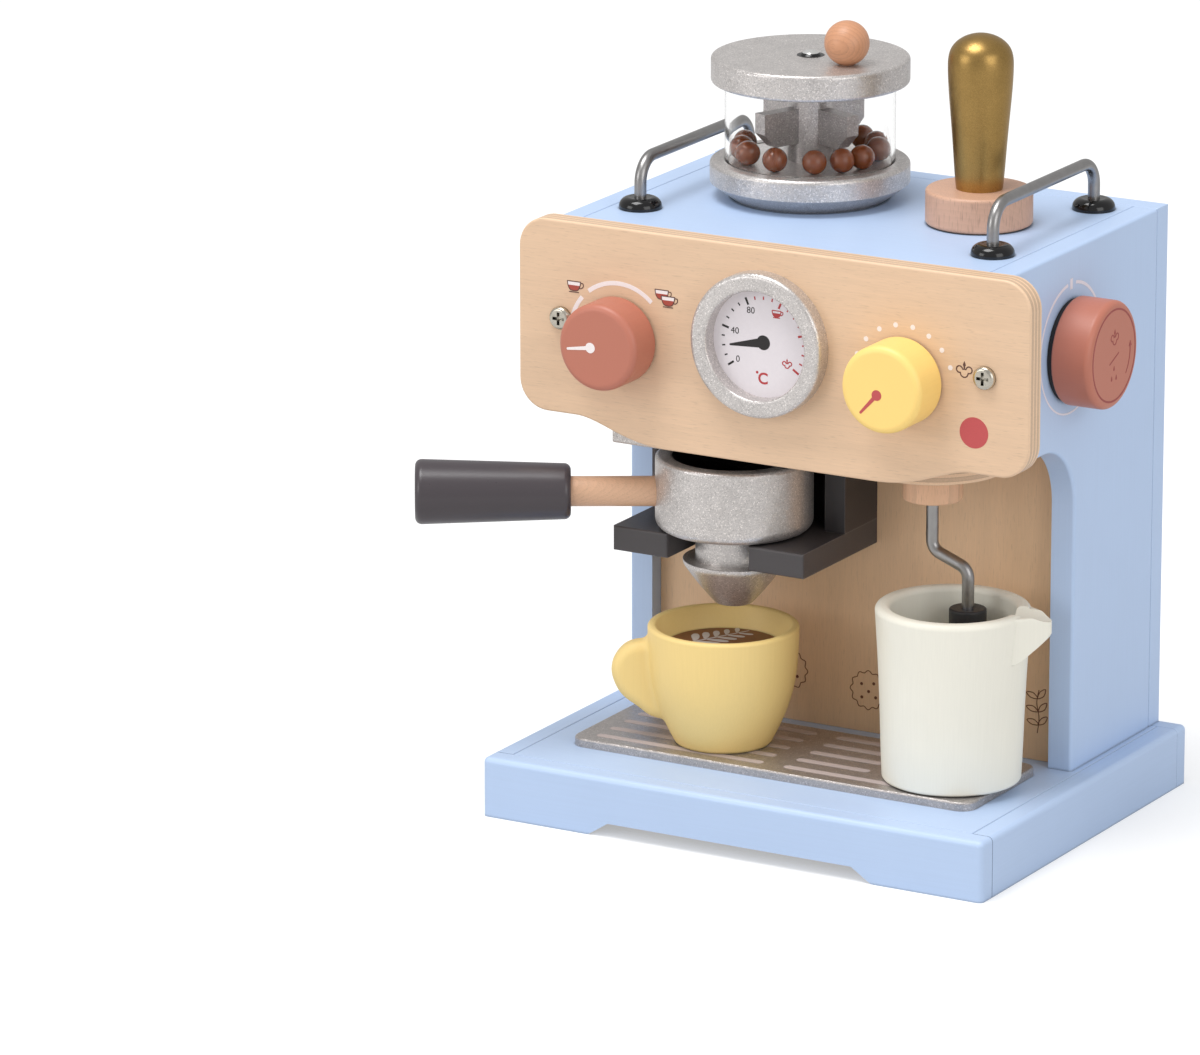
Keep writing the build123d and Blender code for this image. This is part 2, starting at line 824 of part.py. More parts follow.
def portafilter_dowel():
    """Natural dowel between basket and handle."""
    end = handle_start() + dowel_handle_seat
    body = upright(dowel_radius, dowel_start(), end)
    body = handle_place() * body
    inside = Pos(brew_x, brew_y, 0) * upright(filter_cup_bore_radius, filter_bottom, alcove_top)
    return body - inside


def portafilter_handle():
    """Dark handle that thickens towards its end."""
    start = handle_start()
    end = start + handle_length
    outline = Polyline(
        (0, start),
        (handle_near_radius, start),
        (handle_far_radius, end),
        (0, end),
        close=True,
    )
    body = turned(outline)
    body = fillet(edges_at(body, lambda p: near(p.Z, start) or near(p.Z, end)), handle_round)
    body -= upright(dowel_radius, start, start + dowel_handle_seat)
    return handle_place() * body


# ---- steam wand ----
def wand_flange():
    """Plywood disc under the housing."""
    disc = upright(wand_flange_radius, wand_flange_bottom, alcove_top, wand_x, wand_y)
    disc = fillet(edges_at(disc, lambda p: near(p.Z, wand_flange_bottom)), brew_edge_round)
    return disc - upright(wand_rod_radius + running_fit, 0, casing_top, wand_x, wand_y)


def wand_collar():
    """Natural collar that the steam wand turns in."""
    disc = upright(wand_collar_radius, wand_collar_bottom, wand_flange_bottom, wand_x, wand_y)
    disc = fillet(edges_at(disc, lambda p: near(p.Z, wand_collar_bottom)), brew_edge_round)
    return disc - upright(wand_rod_radius + running_fit, 0, casing_top, wand_x, wand_y)


def wand_corner():
    """Height of the upper bend's corner, and the X and Y steps to the lower run."""
    step_x, step_y = toward(wand_offset_direction, wand_offset)
    return wand_collar_bottom - wand_drop_to_bend, step_x, step_y


def wand_tip_bottom():
    """Height of the steam tip's lower end."""
    corner, _, _ = wand_corner()
    return corner - wand_slant_drop - wand_lower_length


def wand_rod():
    """Bent steel rod from above the housing's floor down to the tip."""
    corner, step_x, step_y = wand_corner()
    top = housing_floor_top + seat_gap + wand_retainer_thickness
    low_end = wand_tip_bottom() + wand_tip_length - wand_tip_seat
    path = FilletPolyline(
        (wand_x, wand_y, top),
        (wand_x, wand_y, corner),
        (wand_x + step_x, wand_y + step_y, corner - wand_slant_drop),
        (wand_x + step_x, wand_y + step_y, low_end),
        radius=wand_bend_radius,
    )
    return sweep(Plane(path @ 0, z_dir=path % 0) * Circle(wand_rod_radius), path)


def wand_tip():
    """Black cylinder at the end of the wand."""
    _, step_x, step_y = wand_corner()
    low = wand_tip_bottom()
    top = low + wand_tip_length
    body = upright(wand_tip_radius, low, top, wand_x + step_x, wand_y + step_y)
    body = fillet(edges_at(body, lambda p: near(p.Z, low) or near(p.Z, top)), brew_edge_round)
    return body - upright(wand_rod_radius, top - wand_tip_seat, top, wand_x + step_x, wand_y + step_y)


def wand_retainer():
    """Push-on disc above the housing's floor, which holds the wand up."""
    low = housing_floor_top + seat_gap
    disc = upright(wand_retainer_radius, low, low + wand_retainer_thickness, wand_x, wand_y)
    return disc - upright(wand_rod_radius, low, low + wand_retainer_thickness, wand_x, wand_y)


# ---- drip tray ----
def drip_tray():
    """Silver board with round corners on the base."""
    plan = RectangleRounded(tray_half * 2, tray_rear - tray_front, tray_corner_round)
    board = extrude(Pos(0, (tray_front + tray_rear) / 2, base_height) * plan, tray_thickness)
    return fillet(edges_at(board, lambda p: near(p.Z, tray_top)), tray_edge_round)


# ---- bean hopper ----
def hopper_base():
    """Silver disc with a bevelled foot, a groove for the cylinder and the rotor's pivot hole."""
    outline = Polyline(
        (0, casing_top),
        (hopper_foot_radius, casing_top),
        (hopper_base_radius, casing_top + hopper_bevel_height),
        (hopper_base_radius, hopper_floor),
        (0, hopper_floor),
        close=True,
    )
    body = turned(outline)
    body = fillet(edges_at(body, lambda p: near(p.Z, hopper_floor)), hopper_edge_round)
    groove_floor = hopper_floor - hopper_groove_depth
    groove_inner = cylinder_radius - cylinder_wall - hopper_groove_clearance
    groove = upright(cylinder_radius + hopper_groove_clearance, groove_floor, hopper_floor)
    body -= groove - upright(groove_inner, groove_floor, hopper_floor)
    body -= upright(post_radius + running_fit, hopper_floor - post_pivot_depth, hopper_floor)
    return Pos(hopper_x, hopper_y, 0) * body


def hopper_cylinder():
    """Clear tube around the beans."""
    low = hopper_floor - hopper_groove_depth
    high = lid_bottom - seat_gap
    tube = upright(cylinder_radius, low, high) - upright(cylinder_radius - cylinder_wall, low, high)
    return Pos(hopper_x, hopper_y, 0) * tube


def coffee_beads():
    """Wooden beads that lie on the hopper's floor along the wall."""
    reach = cylinder_radius - cylinder_wall - bead_wall_gap - bead_radius
    beads = []
    for direction in bead_directions:
        step_x, step_y = toward(direction, reach)
        place = Pos(hopper_x + step_x, hopper_y + step_y, hopper_floor + bead_radius)
        beads.append(place * Sphere(bead_radius))
    return Compound(children=beads)


# ---- lid and rotor ----
def ball_place():
    """X and Y of the ball on the lid."""
    step_x, step_y = toward(ball_direction, ball_reach)
    return hopper_x + step_x, hopper_y + step_y


def grinder_lid():
    """Silver lid that turns with the rotor."""
    disc = upright(lid_radius, lid_bottom, lid_top, hopper_x, hopper_y)
    disc = fillet(disc.edges().filter_by(GeomType.CIRCLE), lid_edge_round)
    ball_x, ball_y = ball_place()
    disc -= upright(ball_tenon_radius, lid_top - ball_tenon_length, lid_top, ball_x, ball_y)
    disc -= upright(post_tenon_radius, lid_bottom, lid_bottom + post_tenon_length, hopper_x, hopper_y)
    return disc - upright(rivet_shank_radius, lid_bottom, lid_top, hopper_x, hopper_y)


def lid_ball():
    """Natural wooden ball that turns the lid, with its tenon."""
    ball_x, ball_y = ball_place()
    centre_z = lid_top + ball_radius - ball_flat
    ball = Pos(ball_x, ball_y, centre_z) * Sphere(ball_radius)
    ball -= upright(ball_radius, lid_top - ball_radius, lid_top, ball_x, ball_y)
    return ball + upright(ball_tenon_radius, lid_top - ball_tenon_length, centre_z, ball_x, ball_y)


def lid_rivet():
    """Domed screw that holds the lid on the rotor's post."""
    crown = dome_arc(rivet_head_radius, lid_top, rivet_head_height)
    flat = Polyline((0, lid_top + rivet_head_height), (0, lid_top), (rivet_head_radius, lid_top))
    head = turned(crown + flat, hopper_x, hopper_y)
    return head + upright(rivet_shank_radius, lid_top - rivet_length, lid_top, hopper_x, hopper_y)


def rotor_post():
    """Upright post of the rotor, from its pivot hole up into the lid."""
    foot = hopper_floor - post_pivot_depth + seat_gap
    body = upright(post_radius, foot, lid_bottom, hopper_x, hopper_y)
    body += upright(post_tenon_radius, lid_bottom, lid_bottom + post_tenon_length, hopper_x, hopper_y)
    return body - upright(rivet_shank_radius, lid_top - rivet_length, lid_top, hopper_x, hopper_y)


def rotor_paddle(index):
    """One of four boards glued to the post; its lower outer corner is cut off."""
    low = hopper_floor + paddle_lift
    high = low + paddle_height
    outline = Polyline(
        (0, low),
        (paddle_reach - paddle_chamfer, low),
        (paddle_reach, low + paddle_chamfer),
        (paddle_reach, high),
        (0, high),
        close=True,
    )
    board = extrude(Plane.XZ * make_face(outline), paddle_thickness / 2, both=True)
    board -= upright(post_radius, low, high)
    return Pos(hopper_x, hopper_y, 0) * Rot(0, 0, paddle_direction + 90 * index) * board


# ---- rails on the top ----
def top_rail(side):
    """Bent rod with both ends let into the top board; side is -1 for left and 1 for right."""
    foot = casing_top - rail_seat_depth
    bar = casing_top + rail_rise
    x = side * rail_x
    path = FilletPolyline(
        (x, rail_front_y, foot),
        (x, rail_front_y, bar),
        (x, rail_rear_y, bar),
        (x, rail_rear_y, foot),
        radius=rail_bend_radius,
    )
    return sweep(Plane(path @ 0, z_dir=path % 0) * Circle(rail_rod_radius), path)


def rail_foot(side, y):
    """Black domed collar where a rail meets the top."""
    rim = casing_top + foot_rim_height
    crown = casing_top + foot_height
    dome = ThreePointArc(
        (foot_radius, rim),
        ((foot_radius + foot_crown_radius) / 2 + foot_bulge, (rim + crown) / 2 + foot_bulge),
        (foot_crown_radius, crown),
    )
    outline = dome + Polyline(
        (foot_crown_radius, crown),
        (rail_rod_radius, crown),
        (rail_rod_radius, casing_top),
        (foot_radius, casing_top),
        (foot_radius, rim),
    )
    return turned(outline, side * rail_x, y)


# ---- tamper ----
def tamper_disc():
    """Beech disc of the tamper, which stands on the top."""
    low = casing_top + seat_gap
    high = low + tamper_disc_thickness
    disc = upright(tamper_disc_radius, low, high, tamper_x, tamper_y)
    disc = fillet(disc.edges().filter_by(GeomType.CIRCLE), tamper_disc_round)
    return disc - upright(tamper_tenon_radius, high - tamper_tenon_length, high, tamper_x, tamper_y)


def tamper_handle():
    """Golden handle, a long drop with its tenon in the disc."""
    low = casing_top + seat_gap + tamper_disc_thickness
    head = low + tamper_handle_height
    side = Spline(
        (tamper_handle_foot_radius, low),
        *[(radius, low + height) for radius, height in tamper_handle_swell],
        (0, head),
        tangents=[(0.12, 1), (-1, 0)],
    )
    rest = Polyline(
        (0, head),
        (0, low - tamper_tenon_length),
        (tamper_tenon_radius, low - tamper_tenon_length),
        (tamper_tenon_radius, low),
        (tamper_handle_foot_radius, low),
    )
    return turned(side + rest, tamper_x, tamper_y)


# ---- play cup ----
def cup_floor():
    """Height of the cup's underside on the tray."""
    return tray_top + seat_gap


def cup_outline():
    """Half section of the cup's solid body."""
    low = cup_floor()
    high = low + cup_height
    side = Spline(
        (cup_foot_radius, low),
        (cup_belly_radius, low + cup_belly_height),
        (cup_rim_radius, high),
        tangents=[(0.55, 1), (0.02, 1)],
    )
    return side + Polyline((cup_rim_radius, high), (0, high), (0, low), (cup_foot_radius, low))


def cup_ear():
    """Solid ear of the cup before its edges are rounded, a board along +X that is widest near its top."""
    low = cup_floor()
    top = (ear_root_reach, low + ear_top_height)
    bottom = (ear_root_reach, low + ear_bottom_height)
    swell = Spline(
        top,
        *[(reach, low + height) for reach, height in ear_swell],
        bottom,
        tangents=[(1, 0), (-1, -0.1)],
    )
    return extrude(Plane.XZ * make_face(swell + Line(bottom, top)), ear_thickness / 2, both=True)


def cup_body():
    """Yellow cup with a shallow tapered bore and a solid ear."""
    high = cup_floor() + cup_height
    nearest, furthest = ear_root_zone
    body = turned(cup_outline()) + cup_ear()
    brim = edges_at(body, lambda p: p.X > furthest - 1 and near(abs(p.Y), ear_thickness / 2))
    body = fillet(brim, ear_round)
    root = edges_at(body, lambda p: nearest < math.hypot(p.X, p.Y) < furthest and p.X > ear_root_reach - 2)
    body = fillet(root, ear_root_round)
    bore = Cone(cup_bore_floor_radius, cup_bore_rim_radius, cup_bore_depth)
    body -= Pos(0, 0, high - cup_bore_depth / 2) * bore
    body = fillet(edges_at(body, lambda p: near(p.Z, high)), cup_rim_round)
    return Pos(cup_x, cup_y, 0) * Rot(0, 0, ear_direction) * body


def cup_coffee():
    """Printed disc in the cup's bore."""
    low = cup_floor() + cup_height - cup_bore_depth
    return upright(cup_bore_floor_radius - coffee_clearance, low, low + coffee_thickness, cup_x, cup_y)


# ---- milk jug ----
def jug_lip(low, high):
    """Pouring lip along +X: a pointed plan, whose underside swells down from the tip to the body."""
    plan = Polyline(
        (lip_root_reach, -lip_root_half_width),
        (lip_reach, 0),
        (lip_root_reach, lip_root_half_width),
        close=True,
    )
    face = make_face(plan)
    point = [v for v in face.vertices() if near(v.X, lip_reach)]
    face = fillet(point, lip_tip_radius)
    wedge = extrude(Pos(0, 0, low) * face, high - low)
    wall = jug_waist_radius
    swell = Spline(
        (lip_reach, high),
        *[(reach, high - depth) for reach, depth in lip_swell],
        (wall, high - lip_depth),
        tangents=[(0, -1), (-1, -0.5)],
    )
    rest = Polyline((wall, high - lip_depth), (0, high - lip_depth), (0, high), (lip_reach, high))
    profile = extrude(Plane.XZ * make_face(swell + rest), lip_root_half_width * 2, both=True)
    lip = wedge & profile
    return fillet(edges_at(lip, lambda p: near(p.Z, high) and p.X > lip_root_reach + lip_round), lip_round)


def milk_jug():
    """White jug with a straight bore and a pouring lip."""
    low = tray_top + seat_gap
    high = low + jug_height
    side = Spline(
        (jug_foot_radius, low),
        (jug_waist_radius, low + jug_waist_height),
        (jug_rim_radius, high),
        tangents=[(0.06, 1), (0.07, 1)],
    )
    body = turned(side + Polyline((jug_rim_radius, high), (0, high), (0, low), (jug_foot_radius, low)))
    body = fillet(edges_at(body, lambda p: near(p.Z, low)), jug_foot_round)
    bore = upright(jug_bore_radius, low + jug_floor_thickness, high)
    body = fillet(edges_at(body - bore, lambda p: near(p.Z, high)), jug_rim_round)
    body += jug_lip(low, high - lip_drop) - bore
    channel = Pos(0, 0, high + lip_channel_radius - lip_channel_depth) * Rot(0, 90, 0)
    body -= channel * upright(lip_channel_radius, 0, lip_reach * 2)
    return Pos(jug_x, jug_y, 0) * Rot(0, 0, lip_direction) * body


# ---- all pieces, by node name ----
def all_pieces():
    """Every piece of the coffee maker at rest, by its name."""
    pieces = {
        "base_front_rail": base_front_rail(),
        "base_rear_rail": base_rear_rail(),
        "base_left_rail": base_side_rail(-1),
        "base_right_rail": base_side_rail(1),
        "base_panel": base_panel(),
        "base_screws": base_screws(),
        "left_side_panel": side_panel(-1),
        "right_side_panel": side_panel(1),
        "back_panel": back_panel(),
        "top_panel": top_panel(),
        "housing_floor": housing_floor(),
        "alcove_wall": alcove_wall(),
        "control_panel": control_panel(),
        "panel_screws": panel_screws(),
        "gauge_ring": gauge_ring(),
        "gauge_dial": gauge_dial(),
        "brew_knob": brew_knob(),
        "brew_knob_spindle": panel_spindle(brew_knob_x),
        "steam_knob": steam_knob(),
        "steam_knob_spindle": panel_spindle(steam_knob_x),
        "side_knob": side_knob(),
        "side_knob_spacer": side_knob_spacer(),
        "side_knob_spindle": side_knob_spindle(),
        "brew_plate": brew_plate(),
        "brew_block": brew_block(),
        "brew_fork": brew_fork(),
        "brew_screws": brew_screws(),
        "portafilter_cup": portafilter_cup(),
        "portafilter_spout": portafilter_spout(),
        "portafilter_dowel": portafilter_dowel(),
        "portafilter_handle": portafilter_handle(),
        "wand_flange": wand_flange(),
        "wand_collar": wand_collar(),
        "wand_rod": wand_rod(),
        "wand_tip": wand_tip(),
        "wand_retainer": wand_retainer(),
        "drip_tray": drip_tray(),
        "hopper_base": hopper_base(),
        "hopper_cylinder": hopper_cylinder(),
        "coffee_beads": coffee_beads(),
        "grinder_lid": grinder_lid(),
        "lid_ball": lid_ball(),
        "lid_rivet": lid_rivet(),
        "rotor_post": rotor_post(),
        "tamper_disc": tamper_disc(),
        "tamper_handle": tamper_handle(),
        "cup_body": cup_body(),
        "cup_coffee": cup_coffee(),
        "milk_jug": milk_jug(),
    }
    for index in range(4):
        pieces[f"rotor_paddle_{index + 1}"] = rotor_paddle(index)
    for side, side_name in ((-1, "left"), (1, "right")):
        pieces[f"{side_name}_rail"] = top_rail(side)
        pieces[f"{side_name}_rail_front_foot"] = rail_foot(side, rail_front_y)
        pieces[f"{side_name}_rail_rear_foot"] = rail_foot(side, rail_rear_y)
    return pieces


os.makedirs("parts", exist_ok=True)
for name, piece in all_pieces().items():
    export_step(piece, f"parts/{name}.step")
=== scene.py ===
"""Toy coffee maker: paints, woods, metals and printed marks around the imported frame."""

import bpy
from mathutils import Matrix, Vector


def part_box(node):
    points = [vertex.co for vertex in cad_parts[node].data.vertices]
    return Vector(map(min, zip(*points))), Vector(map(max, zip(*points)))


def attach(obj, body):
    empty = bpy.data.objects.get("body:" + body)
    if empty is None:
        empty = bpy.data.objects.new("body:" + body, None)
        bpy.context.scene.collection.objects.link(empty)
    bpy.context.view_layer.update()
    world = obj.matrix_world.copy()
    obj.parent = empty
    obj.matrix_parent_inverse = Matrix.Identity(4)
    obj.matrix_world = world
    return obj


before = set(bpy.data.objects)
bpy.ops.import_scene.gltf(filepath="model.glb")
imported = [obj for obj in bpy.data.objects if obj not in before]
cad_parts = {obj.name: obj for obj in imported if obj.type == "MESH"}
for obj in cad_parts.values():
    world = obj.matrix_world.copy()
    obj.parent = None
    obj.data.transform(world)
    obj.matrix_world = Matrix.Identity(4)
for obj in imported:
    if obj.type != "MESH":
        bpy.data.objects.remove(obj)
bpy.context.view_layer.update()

import math

import bmesh
import bpy
from bpy.props import FloatProperty, FloatVectorProperty, PointerProperty
from mathutils import Matrix, Vector

bl_info = {
    "name": "Toy Coffee Maker",
    "version": (1, 0, 0),
    "blender": (4, 5, 0),
    "location": "View3D > Sidebar > Coffee Maker",
    "description": "Dresses the frame of a wooden toy coffee maker",
    "category": "Object",
}

MM = 0.001


# ---- colour and scale ----
def linear(code):
    """A colour written as sRGB hex, turned to the linear values that Blender works in."""
    values = [int(code[i : i + 2], 16) / 255 for i in (1, 3, 5)]
    return [v / 12.92 if v <= 0.04045 else ((v + 0.055) / 1.055) ** 2.4 for v in values]


def shade(colour, factor):
    """The same linear colour, darker or lighter, as a four-value socket takes it."""
    return [min(1.0, v * factor) for v in colour[:3]] + [1.0]


def per(size):
    """Texture scale at which a pattern repeats about once in a real size in millimetres."""
    return 1 / (size * MM)


def fibres(width, length, along):
    """Texture scale for fibres of a real width and length in millimetres along one axis."""
    return [per(length) if axis == along else per(width) for axis in "xyz"]


# ---- sizes and colours that a user may change ----
def length_setting(name, millimetres, description):
    """A length of the scene's own pieces, shown in the sidebar in the scene's units."""
    limits = {"min": 0.0, "unit": "LENGTH", "precision": 5}
    return FloatProperty(name=name, description=description, default=millimetres * MM, **limits)


def colour_setting(name, code, description):
    """A colour of the object, shown in the sidebar as a swatch."""
    limits = {"size": 3, "min": 0.0, "max": 1.0, "subtype": "COLOR"}
    return FloatVectorProperty(name=name, description=description, default=linear(code), **limits)


class CoffeeMakerSizes(bpy.types.PropertyGroup):
    """Sizes of the printed marks, in metres."""

    ink_height: length_setting("Ink height", 0.07, "How far a mark stands above its surface")
    ink_seat: length_setting("Ink seat", 0.03, "How far a mark reaches into its surface")
    knob_arc_radius: length_setting("Knob arc radius", 24.2, "Radius of the front knobs' marks")
    knob_arc_stroke: length_setting("Knob arc stroke", 2.0, "Width of the arc around the left knob")
    dot_radius: length_setting("Dot radius", 1.15, "Radius of the dots around the right front knob")
    spot_radius: length_setting("Spot radius", 6.9, "Radius of the red spot on the panel")
    tick_outer_radius: length_setting("Tick outer radius", 21.2, "Outer end of the dial's marks")
    long_tick: length_setting("Long tick", 3.4, "Length of the dial's main marks")
    short_tick: length_setting("Short tick", 2.0, "Length of the dial's small marks")
    side_ring_radius: length_setting("Side ring radius", 29.1, "Radius of the side knob's ring")
    slot_width: length_setting("Slot width", 4.2, "Width of the pale bars on the drip tray")


class CoffeeMakerColours(bpy.types.PropertyGroup):
    """Colours of the paints, woods, metals and inks."""

    blue: colour_setting("Blue paint", "#B6CBEA", "Casing and base")
    birch: colour_setting("Birch", "#DEBD9D", "Face veneer of the control panel")
    alcove_birch: colour_setting("Alcove birch", "#E4C09A", "Face veneer behind the cups")
    beech: colour_setting("Beech", "#DDB290", "Dowel, collar and tamper disc")
    silver: colour_setting("Silver paint", "#CFCAC7", "Dial ring, filter and bean hopper")
    gold: colour_setting("Gold paint", "#A88850", "Tamper handle")
    terracotta: colour_setting("Terracotta paint", "#B9725E", "Left knob and side knob")
    knob_yellow: colour_setting("Yellow paint", "#FAD57E", "Right front knob")
    cup_yellow: colour_setting("Cup yellow", "#F0D28A", "Cup on the tray")
    jug_white: colour_setting("Jug white", "#ECE9DC", "Milk jug")
    handle_grey: colour_setting("Dark grey paint", "#443E42", "Handle of the filter")
    black: colour_setting("Black paint", "#343132", "Brew block")
    plastic_black: colour_setting("Black plastic", "#0F0E0F", "Feet of the cup rails")
    bean_brown: colour_setting("Bead brown", "#783A16", "Wooden beans in the hopper")
    coffee: colour_setting("Coffee brown", "#7C4A2C", "Printed coffee in the cup")
    zinc: colour_setting("Zinc", "#A3A1A0", "Cup rails and steam wand")
    dial: colour_setting("Dial white", "#E4DDE1", "Printed card of the gauge")
    white_ink: colour_setting("White ink", "#F0E7E6", "Marks on the wood and on the blue paint")
    red_ink: colour_setting("Red ink", "#BF4E50", "Spot, pointer and the hot half of the dial")
    black_ink: colour_setting("Black ink", "#1E1A1A", "Pointer and cold half of the dial")
    brown_ink: colour_setting("Brown ink", "#5A3A33", "Outlines of the small signs on the panel")


def sizes():
    """The sizes of this scene, in metres."""
    return bpy.context.scene.coffee_maker_sizes


def colours():
    """The colours of this scene, as linear values."""
    return bpy.context.scene.coffee_maker_colours


# ---- shader building ----
def add(tree, kind, sockets=None, stops=None, **settings):
    """Adds a node with its settings, its socket values and the links from other nodes' outputs."""
    node = tree.nodes.new(kind)
    for name, value in settings.items():
        setattr(node, name, value)
    for key, value in (sockets or {}).items():
        if isinstance(value, bpy.types.NodeSocket):
            tree.links.new(value, node.inputs[key])
        else:
            node.inputs[key].default_value = value
    if stops:
        elements = node.color_ramp.elements
        while len(elements) > 1:
            elements.remove(elements[-1])
        elements[0].position, elements[0].color = stops[0]
        for position, colour in stops[1:]:
            elements.new(position).color = colour
    return node


def empty_tree(owner):
    """The node tree of a material or a world, with nothing in it."""
    owner.use_nodes = True
    owner.node_tree.nodes.clear()
    return owner.node_tree


def new_finish(name, **uniform):
    """A bare material with its shader, whose uniform values are set on the shader's own sockets."""
    finish = bpy.data.materials.new(name)
    tree = empty_tree(finish)
    shader = add(tree, "ShaderNodeBsdfPrincipled")
    for socket, value in uniform.items():
        shader.inputs[socket.replace("_", " ")].default_value = value
    add(tree, "ShaderNodeOutputMaterial", {"Surface": shader.outputs[0]})
    return finish, tree, shader


def link(tree, output, shader, socket):
    """Feeds one of the shader's sockets from a node's output."""
    tree.links.new(output, shader.inputs[socket])


def shades(colour, steps):
    """The stops of a ramp in shades of one colour, from pairs of a place on it and a factor."""
    return [(place, shade(colour, factor)) for place, factor in steps]


def grain(tree, place, width, length, along, detail, **more):
    """Streaks of a real width and length in millimetres, along one axis."""
    run = {"Vector": place, "Scale": fibres(width, length, along)}
    run = add(tree, "ShaderNodeMapping", run).outputs[0]
    streaks = {"Vector": run, "Scale": 1.0, "Detail": detail, **more}
    return add(tree, "ShaderNodeTexNoise", streaks).outputs[0]


def cover(tree, shader, body, value, low, high, depth=0.0, strength=1.0):
    """Feeds a shader's colour and, from one value, its roughness between two limits and a relief
    of a real depth in millimetres."""
    link(tree, body, shader, "Base Color")
    shine = {"Value": value, "To Min": low, "To Max": high}
    link(tree, add(tree, "ShaderNodeMapRange", shine).outputs[0], shader, "Roughness")
    if depth:
        relief = {"Strength": strength, "Distance": depth * MM, "Height": value}
        link(tree, add(tree, "ShaderNodeBump", relief).outputs[0], shader, "Normal")


def painted_edge_highlight(tree, radius):
    """Where a highlight is painted: nought on flat ground and one on an edge, over a real radius
    in millimetres.
    """
    soft = add(tree, "ShaderNodeBevel", {"Radius": radius * MM}, samples=4).outputs[0]
    plain = add(tree, "ShaderNodeNewGeometry").outputs["Normal"]
    same = {0: soft, 1: plain}
    same = add(tree, "ShaderNodeVectorMath", same, operation="DOT_PRODUCT").outputs["Value"]
    # the two normals agree to this much on flat ground and on a sharp edge
    flat, sharp = 0.995, 0.86
    glow = {"Value": same, "From Min": flat, "From Max": sharp}
    return add(tree, "ShaderNodeMapRange", glow).outputs[0]


def seam_shade(tree, radius, depth):
    """Painted shade: one in the open, and down to a depth in a crevice or between parts, of a real
    width in millimetres.
    """
    nearby = {"Distance": radius * MM}
    nearby = add(tree, "ShaderNodeAmbientOcclusion", nearby, samples=6).outputs["AO"]
    dim = {"Value": nearby, "From Min": 0.35, "From Max": 0.9, "To Min": depth, "To Max": 1.0}
    return add(tree, "ShaderNodeMapRange", dim).outputs[0]


def sprayed_paint(name, colour, along="z", gloss=0.4, edge=1.05, seam_shadow=0.4):
    """Satin acrylic paint sprayed on sanded wood: an even colour, a faint orange peel, and the
    fibres of the wood only just showing under the film. Edges are painted paler by the edge
    factor, a painted highlight, and a seam shadow below one paints shade into the seams and
    where parts touch."""
    finish, tree, shader = new_finish(name)
    place = add(tree, "ShaderNodeTexCoord").outputs["Object"]
    cloud = {"Vector": place, "Scale": per(38), "Detail": 3.0}
    cloud = add(tree, "ShaderNodeTexNoise", cloud).outputs[0]
    body = {"Factor": cloud, 6: shade(colour, 0.97), 7: shade(colour, 1.025)}
    body = add(tree, "ShaderNodeMix", body, data_type="RGBA").outputs[2]
    # fibres 0.7 mm wide and 45 mm long, coarser than real ones so that they show
    fibre = grain(tree, place, 0.7, 45, along, 3.0)
    streak = {"Value": fibre, "From Min": 0.3, "From Max": 0.7, "To Min": 0.985, "To Max": 1.01}
    body = {0: body, "Scale": add(tree, "ShaderNodeMapRange", streak).outputs[0]}
    body = add(tree, "ShaderNodeVectorMath", body, operation="SCALE").outputs[0]
    # painted highlight: edges paler, towards the colour times the edge factor
    rim = {"Factor": painted_edge_highlight(tree, 0.8), 6: body, 7: shade(colour, edge)}
    body = add(tree, "ShaderNodeMix", rim, data_type="RGBA").outputs[2]
    # painted shade in the seams and where parts touch, down to the seam shadow's depth
    if seam_shadow < 1:
        body = {0: body, "Scale": seam_shade(tree, 1.4, seam_shadow)}
        body = add(tree, "ShaderNodeVectorMath", body, operation="SCALE").outputs[0]
    # orange peel of a sprayed film, 0.9 mm across, over the fibres
    peel = {"Vector": place, "Scale": per(0.9), "Detail": 1.0}
    peel = add(tree, "ShaderNodeTexNoise", peel).outputs[0]
    cover(tree, shader, body, peel, gloss - 0.05, gloss + 0.07)
    film = {"Strength": 1.0, "Distance": 0.006 * MM}
    under = add(tree, "ShaderNodeBump", {**film, "Height": fibre}).outputs[0]
    relief = {**film, "Height": peel, "Normal": under}
    link(tree, add(tree, "ShaderNodeBump", relief).outputs[0], shader, "Normal")
    return finish


FLAKE_METALLIC = 0.72


